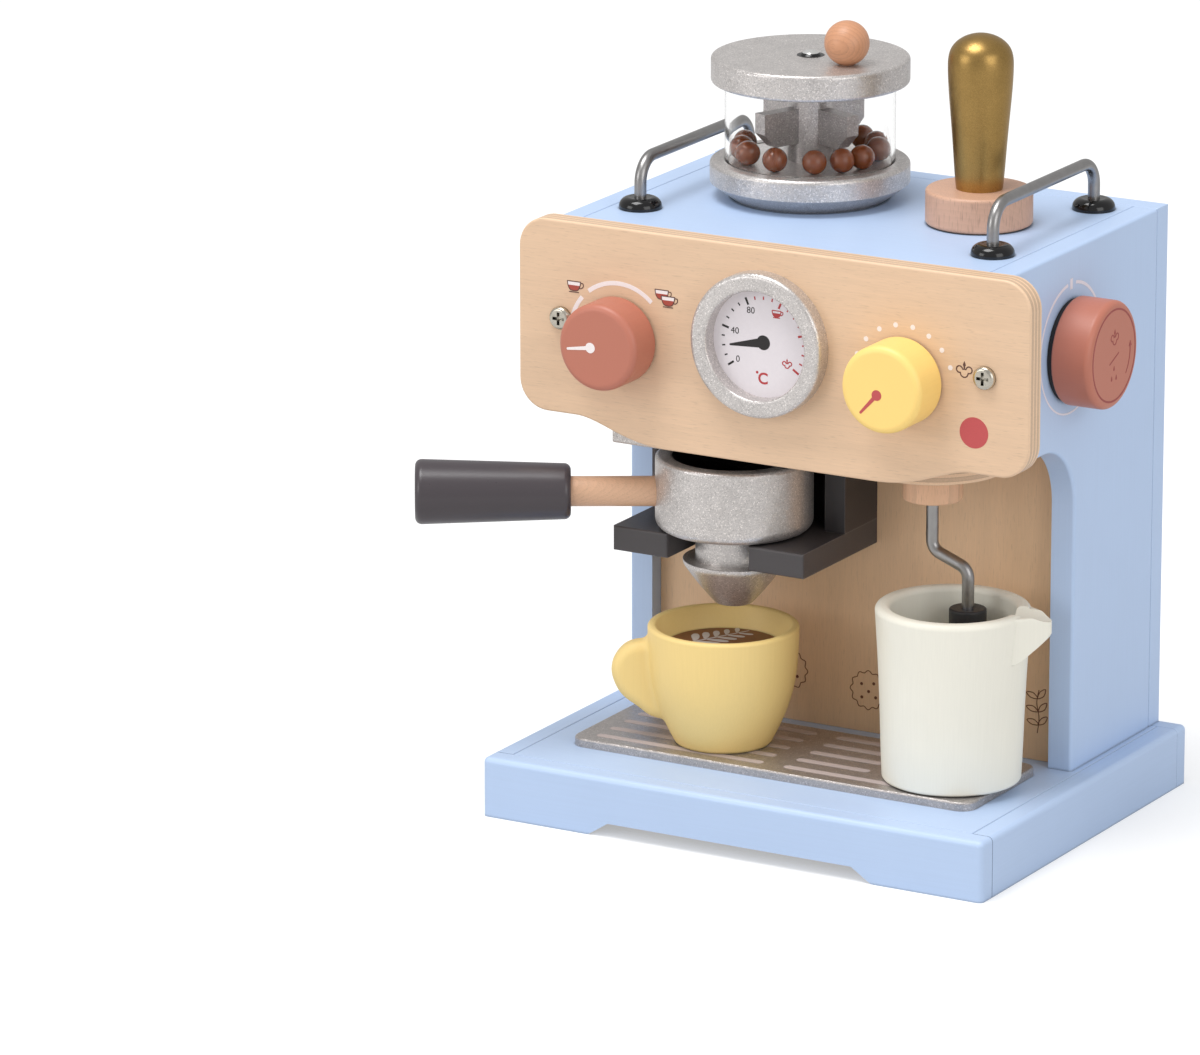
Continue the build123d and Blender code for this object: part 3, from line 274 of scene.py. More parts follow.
def flake_paint(name, colour, bright=1.5, dark=0.74, metallic=FLAKE_METALLIC, tilt=0.2, size=0.42):
    """Metallic paint with aluminium flakes sprayed on wood: a grey body full of tiny bright and
    dark points: painted glints and painted shade of flakes that each lie at their own angle,
    as their tilted normals also show, and a soft broad highlight. A flake of 0.2 mm is drawn
    larger, so that it shows."""
    finish, tree, shader = new_finish(name, Metallic=metallic, Roughness=0.36)
    place = add(tree, "ShaderNodeTexCoord").outputs["Object"]
    cell = {"Vector": place, "Scale": per(size)}
    cell = add(tree, "ShaderNodeTexVoronoi", cell).outputs["Color"]
    pick = add(tree, "ShaderNodeSeparateColor", {0: cell}).outputs[0]
    # painted glints and shade: each flake's colour lighter or darker as if it caught the light or not
    stops = shades(colour, ((0.0, dark), (0.22, 0.94), (0.6, 1.0), (0.84, 1.06), (1.0, bright)))
    painted_glints = add(tree, "ShaderNodeValToRGB", {0: pick}, stops=stops).outputs[0]
    cloud = {"Vector": place, "Scale": per(9), "Detail": 2.0}
    cloud = add(tree, "ShaderNodeTexNoise", cloud).outputs[0]
    cloud = {"Value": cloud, "From Min": 0.3, "From Max": 0.7, "To Min": 0.95, "To Max": 1.05}
    body = {0: painted_glints, "Scale": add(tree, "ShaderNodeMapRange", cloud).outputs[0]}
    body = add(tree, "ShaderNodeVectorMath", body, operation="SCALE").outputs[0]
    link(tree, body, shader, "Base Color")
    # each flake leans its own way from the surface
    lean = {0: cell, 1: (0.5, 0.5, 0.5)}
    lean = add(tree, "ShaderNodeVectorMath", lean, operation="SUBTRACT").outputs[0]
    lean = {0: lean, "Scale": tilt}
    lean = add(tree, "ShaderNodeVectorMath", lean, operation="SCALE").outputs[0]
    tilted = {0: add(tree, "ShaderNodeNewGeometry").outputs["Normal"], 1: lean}
    tilted = add(tree, "ShaderNodeVectorMath", tilted, operation="ADD").outputs[0]
    tilted = add(tree, "ShaderNodeVectorMath", {0: tilted}, operation="NORMALIZE").outputs[0]
    link(tree, tilted, shader, "Normal")
    return finish


def within_round(tree, axis, radius):
    """One inside an upright round about an axis, of a radius in millimetres, and nought outside."""
    away = {0: add(tree, "ShaderNodeTexCoord").outputs["Object"], 1: axis}
    away = add(tree, "ShaderNodeVectorMath", away, operation="SUBTRACT").outputs[0]
    flat = {0: away, 1: (1.0, 1.0, 0.0)}
    flat = add(tree, "ShaderNodeVectorMath", flat, operation="MULTIPLY").outputs[0]
    reach = add(tree, "ShaderNodeVectorMath", {0: flat}, operation="LENGTH").outputs["Value"]
    inside = {0: reach, 1: radius * MM}
    return add(tree, "ShaderNodeMath", inside, operation="LESS_THAN").outputs[0]


def split_finish(finish, inside, inner=None, outer=None):
    """Gives a finish another colour inside or outside a part of it, and returns its shader."""
    tree = finish.node_tree
    shader = tree.nodes["Principled BSDF"]
    first = shader.inputs["Base Color"].links[0].from_socket
    body = {"Factor": inside, 6: outer or first, 7: inner or first}
    link(tree, add(tree, "ShaderNodeMix", body, data_type="RGBA").outputs[2], shader, "Base Color")
    return shader


def flake_paint_black_bore(name, colour, bore_black, axis, radius, floor):
    """The silver flake paint outside, and flat black inside a bore with an upright axis, a
    radius in millimetres and a lowest height."""
    finish = flake_paint(name, colour)
    tree = finish.node_tree
    place = add(tree, "ShaderNodeTexCoord").outputs["Object"]
    above = {0: add(tree, "ShaderNodeSeparateXYZ", {0: place}).outputs[2], 1: floor}
    above = add(tree, "ShaderNodeMath", above, operation="GREATER_THAN").outputs[0]
    inside = {0: within_round(tree, axis, radius), 1: above}
    inside = add(tree, "ShaderNodeMath", inside, operation="MULTIPLY").outputs[0]
    shader = split_finish(finish, inside, inner=shade(bore_black, 1.0))
    metal = {"Value": inside, "To Min": FLAKE_METALLIC, "To Max": 0.0}
    link(tree, add(tree, "ShaderNodeMapRange", metal).outputs[0], shader, "Metallic")
    return finish


def birch_ply(name, colour, along, through, box, plies):
    """Rotary-cut birch plywood under clear lacquer: pale faces with short fine pores and drifting
    warmer bands, and sawn edges that show the veneers as pale and brown stripes."""
    finish, tree, shader = new_finish(name, Coat_Weight=0.12, Coat_Roughness=0.35)
    coordinates = add(tree, "ShaderNodeTexCoord")
    place = coordinates.outputs["Object"]
    # figure: bands about 14 mm wide and 120 mm long
    band = grain(tree, place, 14, 120, along, 4.0, Roughness=0.55, Distortion=0.8)
    stops = shades(colour, ((0.3, 1.03), (0.5, 1.0), (0.72, 0.95)))
    face = add(tree, "ShaderNodeValToRGB", {0: band}, stops=stops).outputs[0]
    # fibres 0.6 mm wide and 14 mm long
    fibre = grain(tree, place, 0.6, 14, along, 3.0)
    tint = {"Value": fibre, "From Min": 0.25, "From Max": 0.75, "To Min": 0.95, "To Max": 1.035}
    face = {0: face, "Scale": add(tree, "ShaderNodeMapRange", tint).outputs[0]}
    face = add(tree, "ShaderNodeVectorMath", face, operation="SCALE").outputs[0]
    # pores 0.45 mm wide and 5 mm long, few and dark
    pore = grain(tree, place, 0.45, 5, along, 1.0)
    pore = {"Value": pore, "From Min": 0.62, "From Max": 0.76, "To Min": 0.0, "To Max": 0.34}
    pore = add(tree, "ShaderNodeMapRange", pore).outputs[0]
    face = {"Factor": pore, 6: face, 7: shade(colour, 0.62)}
    face = add(tree, "ShaderNodeMix", face, data_type="RGBA").outputs[2]
    # sawn edge: pale and brown veneers across the thickness, with dark glue lines between them
    axis = "xyz".index(through)
    height = add(tree, "ShaderNodeSeparateXYZ", {0: place}).outputs[axis]
    layer = {"Value": height, "From Min": box[0][axis], "From Max": box[1][axis]}
    layer = add(tree, "ShaderNodeMapRange", layer).outputs[0]
    pale, brown, glue, glue_half = 1.1, 0.82, 0.62, 0.02
    stripes = []
    for number in range(plies):
        low, high = number / plies, (number + 1) / plies
        tone = brown if number % 2 else pale
        stripes += [(low + glue_half, tone), (high - glue_half, tone), (high, glue)]
    stops = shades(colour, stripes[:-1])
    edge = add(tree, "ShaderNodeValToRGB", {0: layer}, stops=stops).outputs[0]
    end = {"Vector": place, "Scale": per(0.7), "Detail": 2.0}
    end = add(tree, "ShaderNodeTexNoise", end).outputs[0]
    end = {"Value": end, "From Min": 0.3, "From Max": 0.7, "To Min": 0.93, "To Max": 1.05}
    edge = {0: edge, "Scale": add(tree, "ShaderNodeMapRange", end).outputs[0]}
    edge = add(tree, "ShaderNodeVectorMath", edge, operation="SCALE").outputs[0]
    facing = add(tree, "ShaderNodeSeparateXYZ", {0: coordinates.outputs["Normal"]}).outputs[axis]
    facing = add(tree, "ShaderNodeMath", {0: facing}, operation="ABSOLUTE").outputs[0]
    facing = {"Value": facing, "From Min": 0.55, "From Max": 0.8}
    facing = add(tree, "ShaderNodeMapRange", facing).outputs[0]
    body = {"Factor": facing, 6: edge, 7: face}
    body = add(tree, "ShaderNodeMix", body, data_type="RGBA").outputs[2]
    cover(tree, shader, body, fibre, 0.42, 0.56, 0.015, facing)
    return finish


def turned_wood(name, colour, along, ring=3.2, heart=(0, 0, 0), late=0.88, ray=None, fleck=0.42):
    """Beech turned and lacquered: a pinkish body, growth rings of a real width that close round
    the heart of the tree and end in darker late wood, and the short dark flecks of its rays, of a
    real width and length along an axis."""
    finish, tree, shader = new_finish(name, Coat_Weight=0.15, Coat_Roughness=0.3)
    place = add(tree, "ShaderNodeTexCoord").outputs["Object"]
    centred = {"Vector": place, "Location": [-value for value in heart]}
    centred = add(tree, "ShaderNodeMapping", centred).outputs[0]
    # the wave texture repeats once in a twentieth of a full turn
    rings = {"Vector": centred, "Scale": per(ring) * math.tau / 20}
    rings.update({"Distortion": 0.8, "Detail": 2.0, "Detail Scale": 1.2})
    form = {"wave_type": "RINGS", "rings_direction": along.upper(), "wave_profile": "SAW"}
    rings = add(tree, "ShaderNodeTexWave", rings, **form).outputs["Fac"]
    stops = shades(colour, ((0.0, 1.03), (0.55, 1.0), (0.9, late)))
    body = add(tree, "ShaderNodeValToRGB", {0: rings}, stops=stops).outputs[0]
    mark = grain(tree, place, *(ray or (0.35, 3.5, along)), 1.5)
    dark = {"Value": mark, "From Min": 0.54, "From Max": 0.72, "To Min": 0.0, "To Max": fleck}
    dark = add(tree, "ShaderNodeMapRange", dark).outputs[0]
    body = {"Factor": dark, 6: body, 7: shade(colour, 0.62)}
    body = add(tree, "ShaderNodeMix", body, data_type="RGBA").outputs[2]
    cover(tree, shader, body, mark, 0.4, 0.55, 0.02)
    return finish


def plated_steel(name, colour, roughness=0.34, uneven=0.03, spangle=4.0, recess_shadow=1.0):
    """Bright zinc on drawn steel: grey metal with long highlights that break up a little where
    the plating is uneven. A recess shadow below one paints shade into its recesses."""
    finish, tree, shader = new_finish(name, Metallic=1.0)
    place = add(tree, "ShaderNodeTexCoord").outputs["Object"]
    patch = {"Vector": place, "Scale": per(spangle), "Detail": 4.0}
    patch = add(tree, "ShaderNodeTexNoise", patch).outputs[0]
    stops = shades(colour, ((0.3, 0.92), (0.55, 1.0), (0.75, 1.07)))
    body = add(tree, "ShaderNodeValToRGB", {0: patch}, stops=stops).outputs[0]
    # painted shade in recesses, such as the screws' crosses
    if recess_shadow < 1:
        body = {0: body, "Scale": seam_shade(tree, 1.6, recess_shadow)}
        body = add(tree, "ShaderNodeVectorMath", body, operation="SCALE").outputs[0]
    link(tree, body, shader, "Base Color")
    shine = {"Value": patch, "From Min": 0.3, "From Max": 0.7}
    shine.update({"To Min": roughness - uneven, "To Max": roughness + uneven})
    link(tree, add(tree, "ShaderNodeMapRange", shine).outputs[0], shader, "Roughness")
    # dust and fine scratches 0.3 mm across
    scratch = {"Vector": place, "Scale": per(0.3), "Detail": 1.0}
    scratch = add(tree, "ShaderNodeTexNoise", scratch).outputs[0]
    relief = {"Strength": 1.0, "Distance": 0.0015 * MM, "Height": scratch}
    link(tree, add(tree, "ShaderNodeBump", relief).outputs[0], shader, "Normal")
    return finish


def capped_rivet(name, colour, outer_black, axis, radius):
    """A bright chromed cap in the middle, and black around it."""
    finish = plated_steel(name, colour, 0.22, spangle=8.0)
    tree = finish.node_tree
    within = within_round(tree, axis, radius)
    shader = split_finish(finish, within, outer=shade(outer_black, 1.0))
    link(tree, within, shader, "Metallic")
    return finish


def mottled(name, colour, size, detail, dark, bright, low, high, depth=0.0):
    """A plain material whose colour, roughness and relief follow one mottle of a real size."""
    finish, tree, shader = new_finish(name)
    place = add(tree, "ShaderNodeTexCoord").outputs["Object"]
    mottle = {"Vector": place, "Scale": per(size), "Detail": detail}
    mottle = add(tree, "ShaderNodeTexNoise", mottle).outputs[0]
    body = {"Factor": mottle, 6: shade(colour, dark), 7: shade(colour, bright)}
    body = add(tree, "ShaderNodeMix", body, data_type="RGBA").outputs[2]
    cover(tree, shader, body, mottle, low, high, depth)
    return finish


def moulded_plastic(name, colour, roughness=0.14, texture=0.004):
    """Injection-moulded ABS: an even deep colour, and a highlight that the mould's polish or
    fine spark texture makes sharp or soft."""
    return mottled(name, colour, 0.6, 2.0, 0.85, 1.15, roughness * 0.8, roughness * 1.25, texture)


def screen_ink(name, colour, roughness=0.5):
    """Screen-printed ink: flat and matt, with the slight mottle of ink pressed through a mesh."""
    return mottled(name, colour, 0.5, 2.0, 0.9, 1.06, roughness - 0.06, roughness + 0.08)


def coated_card(name, colour):
    """Coated card: nearly white and smooth, with fibres that only just tint it."""
    return mottled(name, colour, 1.6, 5.0, 0.96, 1.03, 0.4, 0.5)


def coffee_print(name, colour):
    """Printed and varnished coffee: warm brown with the paler marbling of its foam."""
    finish, tree, shader = new_finish(name)
    place = add(tree, "ShaderNodeTexCoord").outputs["Object"]
    foam = {"Vector": place, "Scale": per(7), "Detail": 5.0, "Distortion": 1.2}
    foam = add(tree, "ShaderNodeTexNoise", foam).outputs[0]
    stops = shades(colour, ((0.3, 0.85), (0.5, 1.0), (0.75, 1.25)))
    body = add(tree, "ShaderNodeValToRGB", {0: foam}, stops=stops).outputs[0]
    cover(tree, shader, body, foam, 0.36, 0.5)
    return finish


def clear_acrylic(name):
    """Extruded acrylic tube: clear, faintly grey along its edges, with sharp highlights and the
    slight waviness of an extruded wall."""
    # a lower index than acrylic's 1.49, so that the white room doesn't veil what stands inside
    clear = {"IOR": 1.16, "Transmission_Weight": 1.0, "Specular_IOR_Level": 0.3, "Roughness": 0.0}
    finish, tree, shader = new_finish(name, **clear)
    place = add(tree, "ShaderNodeTexCoord").outputs["Object"]
    # waves 9 mm wide and 60 mm long
    wave = grain(tree, place, 9, 60, "z", 1.0)
    tint = {"Factor": wave, 6: (0.97, 0.975, 0.975, 1.0), 7: (1.0, 1.0, 1.0, 1.0)}
    link(tree, add(tree, "ShaderNodeMix", tint, data_type="RGBA").outputs[2], shader, "Base Color")
    relief = {"Strength": 1.0, "Distance": 0.006 * MM, "Height": wave}
    link(tree, add(tree, "ShaderNodeBump", relief).outputs[0], shader, "Normal")
    return finish


def dress(finish, *nodes):
    """Gives CAD nodes their finish."""
    for name in nodes:
        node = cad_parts[name]
        if not node.material_slots:
            node.data.materials.append(finish)
        for slot in node.material_slots:
            slot.material = finish


# ---- places ----
def mm(x, y, z):
    """A vector that is given in millimetres."""
    return Vector((x, y, z)) * MM


def centre(box):
    """The middle of a box that is given by its two corners."""
    return (box[0] + box[1]) / 2


def at(place, **fixed):
    """A place with some of its coordinates set to others."""
    for axis, value in fixed.items():
        setattr(place, axis, value)
    return place


# ---- flat marks, drawn in millimetres ----
FRONT = (Vector((1, 0, 0)), Vector((0, 0, 1)))
RIGHT = (Vector((0, 1, 0)), Vector((0, 0, 1)))
UPWARD = (Vector((1, 0, 0)), Vector((0, 1, 0)))
FINE_LINE = 0.42


def arc(radius, start, end, x=0.0, y=0.0, step=4.0):
    """Points along a circle between two angles in degrees."""
    count = max(2, round(abs(end - start) / step))
    turns = [math.radians(start + (end - start) * i / count) for i in range(count + 1)]
    return [(x + radius * math.cos(t), y + radius * math.sin(t)) for t in turns]


def neighbour(points, index, closed):
    """A point of a line that goes round if it is closed, and otherwise stops at its ends."""
    last = len(points) - 1
    return Vector(points[index % (last + 1) if closed else min(max(index, 0), last)])


def smooth(points, closed=False, cuts=6):
    """A rounded line through the points."""
    line = []
    for i in range(len(points) if closed else len(points) - 1):
        a, b, c, d = (neighbour(points, i + k, closed) for k in (-1, 0, 1, 2))
        for t in (k / cuts for k in range(cuts)):
            square, cube = 2 * a - 5 * b + 4 * c - d, 3 * b - a - 3 * c + d
            line.append(tuple((2 * b + (c - a) * t + square * t**2 + cube * t**3) / 2))
    if not closed:
        line.append(tuple(points[-1]))
    return line


def disc(radius, x=0.0, y=0.0, count=40):
    """A filled circle."""
    return [arc(radius, 0, 360, x, y, 360 / count)[:-1]]


def stroke(points, width, end_width=None, closed=False):
    """A line of a given width as quads side by side, which may taper to another width."""
    count = len(points)
    end_width = width if end_width is None else end_width
    sides = []
    for i in range(count):
        along = neighbour(points, i + 1, closed) - neighbour(points, i - 1, closed)
        along.normalize()
        half = (width + (end_width - width) * i / max(1, count - 1)) / 2
        across = Vector((-along.y, along.x)) * half
        middle = Vector(points[i])
        sides.append((tuple(middle + across), tuple(middle - across)))
    quads = []
    for i in range(count if closed else count - 1):
        (left, right), (next_left, next_right) = sides[i], sides[(i + 1) % count]
        quads.append([right, next_right, next_left, left])
    return quads


def grown(points, factor):
    """The same points, with all their distances larger by a factor."""
    return [(x * factor, y * factor) for x, y in points]


def moved(faces, x, y, turn=0.0, grow=1.0):
    """The same faces, grown, turned by degrees and moved."""
    turn = math.radians(turn)
    c, s = math.cos(turn) * grow, math.sin(turn) * grow
    return [[(x + a * c - b * s, y + a * s + b * c) for a, b in face] for face in faces]


def new_object(name, data):
    """An object in the scene, from a mesh, a curve, a lamp or a camera."""
    made = bpy.data.objects.new(name, data)
    bpy.context.scene.collection.objects.link(made)
    return made


def settle(mesh, name, ink, body):
    """Makes a piece from a finished mesh, and lets it ride its body."""
    mesh.name = name
    mesh.materials.clear()
    mesh.materials.append(ink)
    piece = new_object(name, mesh)
    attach(piece, body)


def print_mark(name, shapes, origin, ink, facing=FRONT, body="machine"):
    """A printed mark on a surface: each shape a thin closed film that is seated in the surface."""
    across, up = facing
    out = across.cross(up)
    # each shape lies a hair above the last, so that shapes that cross don't share a plane
    layer = 0.004 * MM
    drawing = bmesh.new()
    for number, faces in enumerate(shapes):
        height = sizes().ink_height + number * layer
        corners = {}
        for face in faces:
            points = list(dict.fromkeys((round(x, 5), round(y, 5)) for x, y in face))
            for x, y in points:
                if (x, y) not in corners:
                    spot = origin + across * (x * MM) + up * (y * MM) + out * height
                    corners[x, y] = drawing.verts.new(spot)
            if len(points) > 2:
                drawing.faces.new([corners[point] for point in points])
        made = [f for f in drawing.faces if not f.tag]
        bottom = bmesh.ops.extrude_face_region(drawing, geom=made)["geom"]
        below = [v for v in bottom if isinstance(v, bmesh.types.BMVert)]
        bmesh.ops.translate(drawing, verts=below, vec=out * -(height + sizes().ink_seat))
        for face in drawing.faces:
            face.tag = True
    bmesh.ops.recalc_face_normals(drawing, faces=drawing.faces)
    mesh = bpy.data.meshes.new(name)
    drawing.to_mesh(mesh)
    drawing.free()
    settle(mesh, name, ink, body)


def figures(name, text, height, origin, ink, bold=0.0):
    """Figures of a real height on the machine's front, from the plain built-in type."""
    across, up = FRONT
    out = across.cross(up)
    line = bpy.data.curves.new(name, "FONT")
    line.body = text
    line.align_x = line.align_y = "CENTER"
    # a figure of the built-in type is 0.7 of its size high
    line.size = height * MM / 0.7
    line.extrude = (sizes().ink_height + sizes().ink_seat) / 2
    line.resolution_u = 4
    line.offset = bold * MM
    holder = new_object(name + "_type", line)
    bpy.context.view_layer.update()
    mesh = bpy.data.meshes.new_from_object(holder)
    bpy.data.objects.remove(holder)
    bpy.data.curves.remove(line)
    turn = Matrix((across, up, out)).transposed().to_4x4()
    rise = (sizes().ink_height - sizes().ink_seat) / 2
    mesh.transform(Matrix.Translation(origin + out * rise) @ turn)
    settle(mesh, name, ink, "machine")


def cup_sign(width):
    """Outline, filling and inside of a small cup with an ear and a saucer line."""
    unit = width / 8
    bowl = smooth([(-3.9, 2.4), (-3.5, 0.2), (-2.2, -1.5), (0.9, -1.5), (2.2, 0.2), (2.6, 2.4)])
    rim = [(-4.05, 2.4), (2.75, 2.4)]
    ear = smooth([(2.5, 1.9), (3.8, 1.8), (3.9, 0.5), (2.9, -0.4), (1.9, -0.3)])
    saucer = [(-3.1, -2.3), (1.8, -2.3)]
    outline = [stroke(grown(points, unit), FINE_LINE) for points in (bowl, rim, ear, saucer)]
    level = [(x, min(y, 0.7)) for x, y in bowl if y < 1.2]
    return outline, [grown(level, unit)], [grown(bowl, unit)]


def steam_sign(width, line):
    """Outline of a puff of two side lobes and a lower one, with a pointed drop standing in its top
    notch. The lobes' circles meet where their arcs end."""
    side_reach, side_radius, low_drop, low_radius = 0.3, 0.19, 0.2, 0.24
    right = arc(side_radius, 176, -108, side_reach, 0.0, 18)
    right += arc(low_radius, -6, -90, 0.0, -low_drop, 18)
    left = [(-x, y) for x, y in reversed(right[:-1])]
    side = [(0.07, 0.34), (0.09, 0.26), (0.05, 0.19), (0.03, 0.0)]
    drop = [(0.0, 0.5)] + side + [(-x, y) for x, y in reversed(side)]
    puff = grown([(0.0, 0.03)] + right + left, width)
    return [stroke(puff, line, closed=True), [grown(drop, width)]]


def pointer(hub_radius, length, root, tip, angle):
    """A round hub with a tapering hand that points along an angle in degrees."""
    turn = math.radians(angle)
    end = (length * math.cos(turn), length * math.sin(turn))
    return [disc(hub_radius), stroke([(0, 0), end], root, tip), disc(tip / 2, *end, count=16)]


# ---- one operator for each piece or group of like pieces ----
class MakerOperator:
    """What every operator here shares: it builds when run and reports that it has finished."""

    bl_options = {"REGISTER", "UNDO"}

    def execute(self, context):
        self.build()
        return {"FINISHED"}


# the studio: places and widths in metres, powers in watts, strengths beside a white of one
WHITE = (1.0, 1.0, 1.0, 1.0)
GREY_PAPER = (0.62, 0.62, 0.62, 1.0)
FLOOR_LIFT = 0.42
ROOM_AROUND, ROOM_MIRRORED, ROOM_BEHIND = 0.69, 0.54, 1.0
LIGHT_AIM = Vector((0.0, -0.09, 0.15))
SOFT_BOXES = (
    ("key_softbox", (-0.5, -0.9, 3.2), 1.6, 66.0),
    ("fill_softbox", (2.4, -1.2, 1.1), 1.6, 15.5),
    ("front_softbox", (-1.4, -2.3, 1.0), 1.2, 12.0),
)


class COFFEE_OT_stage(MakerOperator, bpy.types.Operator):
    """Pale floor, soft studio light and the camera"""

    bl_idname = "coffee_maker.stage"
    bl_label = "Stage, Lights and Camera"

    def build(self):
        self.build_floor()
        self.build_lights()
        self.build_camera()

    def build_floor(self):
        """A plain floor that keeps the object's shadow and is otherwise as pale as the room."""
        mesh = bpy.data.meshes.new("studio_floor")
        half = 4.0
        corners = [(-half, -half, 0), (half, -half, 0), (half, half, 0), (-half, half, 0)]
        mesh.from_pydata(corners, [], [(0, 1, 2, 3)])
        floor = new_object("studio_floor", mesh)
        finish = bpy.data.materials.new("matt_white_studio_paper")
        tree = empty_tree(finish)
        paper = add(tree, "ShaderNodeBsdfDiffuse", {"Color": GREY_PAPER}).outputs[0]
        lift = {"Color": WHITE, "Strength": FLOOR_LIFT}
        lift = add(tree, "ShaderNodeEmission", lift).outputs[0]
        lifted = add(tree, "ShaderNodeAddShader", {0: paper, 1: lift}).outputs[0]
        shown = {0: self.seen(tree), 1: paper, 2: lifted}
        shown = add(tree, "ShaderNodeMixShader", shown).outputs[0]
        add(tree, "ShaderNodeOutputMaterial", {"Surface": shown})
        mesh.materials.append(finish)

    def seen(self, tree):
        """One for rays from the camera, also through clear pieces, and nought for all others."""
        rays = add(tree, "ShaderNodeLightPath").outputs
        straight = {0: rays["Is Camera Ray"], 1: rays["Is Transmission Ray"]}
        return add(tree, "ShaderNodeMath", straight, operation="MAXIMUM").outputs[0]

    def build_lights(self):
        """Three large soft boxes, and a world that is white behind the object, even around it, and
        a little dimmer where paint and metal mirror it."""
        for name, place, width, power in SOFT_BOXES:
            lamp = bpy.data.lights.new(name, "AREA")
            lamp.shape = "SQUARE"
            lamp.size = width
            lamp.energy = power
            holder = new_object(name, lamp)
            holder.location = place
            holder.rotation_euler = (LIGHT_AIM - Vector(place)).to_track_quat("-Z", "Y").to_euler()
        world = bpy.data.worlds.new("studio_world")
        bpy.context.scene.world = world
        tree = empty_tree(world)
        around, mirrored, behind = (
            add(tree, "ShaderNodeBackground", {"Color": WHITE, "Strength": strength}).outputs[0]
            for strength in (ROOM_AROUND, ROOM_MIRRORED, ROOM_BEHIND)
        )
        glossy = add(tree, "ShaderNodeLightPath").outputs["Is Glossy Ray"]
        room = add(tree, "ShaderNodeMixShader", {0: glossy, 1: around, 2: mirrored}).outputs[0]
        shown = {0: self.seen(tree), 1: room, 2: behind}
        shown = add(tree, "ShaderNodeMixShader", shown).outputs[0]
        add(tree, "ShaderNodeOutputWorld", {"Surface": shown})

    def build_camera(self):
        """A long lens from above the front right corner."""
        azimuth, elevation, roll = (math.radians(value) for value in (30.267, 16.143, -0.156))
        target = Matrix.Translation((-0.144735, -0.095, 0.08551))
        distance = Matrix.Translation((0.0, 0.0, 3.7416))
        # lengths in pixels of the whole frame
        image_width, image_height = 1200, 1055
        focal, centre_x, centre_y = 8243.0, 556.963, 571.125
        turn = Matrix.Rotation(azimuth, 4, "Z") @ Matrix.Rotation(math.pi / 2 - elevation, 4, "X")
        turn = turn @ Matrix.Rotation(roll, 4, "Z")
        lens = bpy.data.cameras.new("studio_camera")
        lens.sensor_width = 36.0
        lens.lens = focal / image_width * lens.sensor_width
        lens.shift_x = (image_width / 2 - centre_x) / image_width
        lens.shift_y = (centre_y - image_height / 2) / image_width
        lens.clip_end = 50.0
        holder = new_object("studio_camera", lens)
        holder.matrix_world = target @ turn @ distance
        bpy.context.scene.camera = holder


class COFFEE_OT_casing(MakerOperator, bpy.types.Operator):
    """Blue boards of the base and the casing"""

    bl_idname = "coffee_maker.casing"
    bl_label = "Painted Casing"

    def build(self):
        for grain, along, boards in (
            ("upright", "z", ("left_side_panel", "right_side_panel", "back_panel")),
            ("cross", "x", ("base_front_rail", "base_rear_rail", "base_panel", "top_panel")),
            ("deep", "y", ("base_left_rail", "base_right_rail")),
        ):
            blue = sprayed_paint(f"satin_blue_paint_{grain}_grain", colours().blue, along)
            dress(blue, *boards)


class COFFEE_OT_plywood(MakerOperator, bpy.types.Operator):
    """Bare plywood: control panel, alcove wall, housing floor and the steam wand's flange"""

    bl_idname = "coffee_maker.plywood"
    bl_label = "Birch Plywood"

    def build(self):
        for node, colour, along, through, plies in (
            ("control_panel", colours().birch, "x", "y", 7),
            ("alcove_wall", colours().alcove_birch, "z", "y", 5),
            ("housing_floor", colours().alcove_birch, "x", "z", 7),
            ("wand_flange", colours().birch, "x", "z", 7),
        ):
            name = "birch_plywood_" + node
            dress(birch_ply(name, colour, along, through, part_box(node), plies), node)


class COFFEE_OT_knobs(MakerOperator, bpy.types.Operator):
    """The three knobs with their pointers and engraved signs"""

    bl_idname = "coffee_maker.knobs"
    bl_label = "Knobs"

    def build(self):
        for name, colour, along, knob in (
            ("satin_terracotta_paint", colours().terracotta, "y", "brew_knob"),
            ("satin_terracotta_paint_side", colours().terracotta, "x", "side_knob"),
            ("satin_yellow_paint", colours().knob_yellow, "y", "steam_knob"),
        ):
            dress(sprayed_paint(name, colour, along, gloss=0.42), knob)
        spacer = moulded_plastic("matt_black_spacer_plastic", linear("#1C1A1A"), 0.5, 0.01)
        dress(spacer, "side_knob_spacer")
        hidden = turned_wood("turned_beech_spindles", colours().beech, "y")
        dress(hidden, "brew_knob_spindle", "steam_knob_spindle", "side_knob_spindle")
        white = screen_ink("white_screen_ink_knob", colours().white_ink)
        red = screen_ink("red_screen_ink_knob", colours().red_ink)
        self.build_pointer("brew_knob", white, -3.1, -0.1, 188.3)
        self.build_pointer("steam_knob", red, -1.6, -2.3, 228.0)
        self.build_engraving()

    def build_pointer(self, knob, ink, x, y, angle):
        """A printed hand on a front knob's face, with its hub a little off the middle."""
        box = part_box(knob)
        hub_radius, length, root, tip = 2.35, 11.4, 1.9, 1.1
        hand = [moved(faces, x, y) for faces in pointer(hub_radius, length, root, tip, angle)]
        print_mark(knob + "_pointer", hand, at(centre(box), y=box[0].y), ink, body=knob)

    def build_engraving(self):
        """The ring, steam sign, stroke, drops and turning arrow burnt into the side knob's face."""
        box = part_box("side_knob")
        burnt = screen_ink("burnt_engraving_lines", linear("#9A4A45"), 0.6)
        marks = [stroke(arc(20.4, 0, 355, step=5), 0.8, closed=True)]
        marks += [moved(faces, 0.5, 8.0) for faces in steam_sign(7.4, 0.5)]
        marks.append(stroke([(-4.2, -3.4), (4.6, 0.4)], 0.55))
        drop = [(0.0, 1.5), (0.62, 0.1), (0.45, -0.7), (-0.45, -0.7), (-0.62, 0.1)]
        marks += [moved([drop], x, y) for x, y in ((0.2, -6.2), (-2.0, -10.4), (2.4, -10.6))]
        reach, half = 15.6, 1.4
        marks.append(stroke(arc(reach, -42, 4, step=4), 0.4, 0.7))
        marks.append([[(reach, 3.4), (reach - half, 1.0), (reach + half, 1.0)]])
        face = at(centre(box), x=box[1].x)
        print_mark("side_knob_engraving", marks, face, burnt, RIGHT, "side_knob")


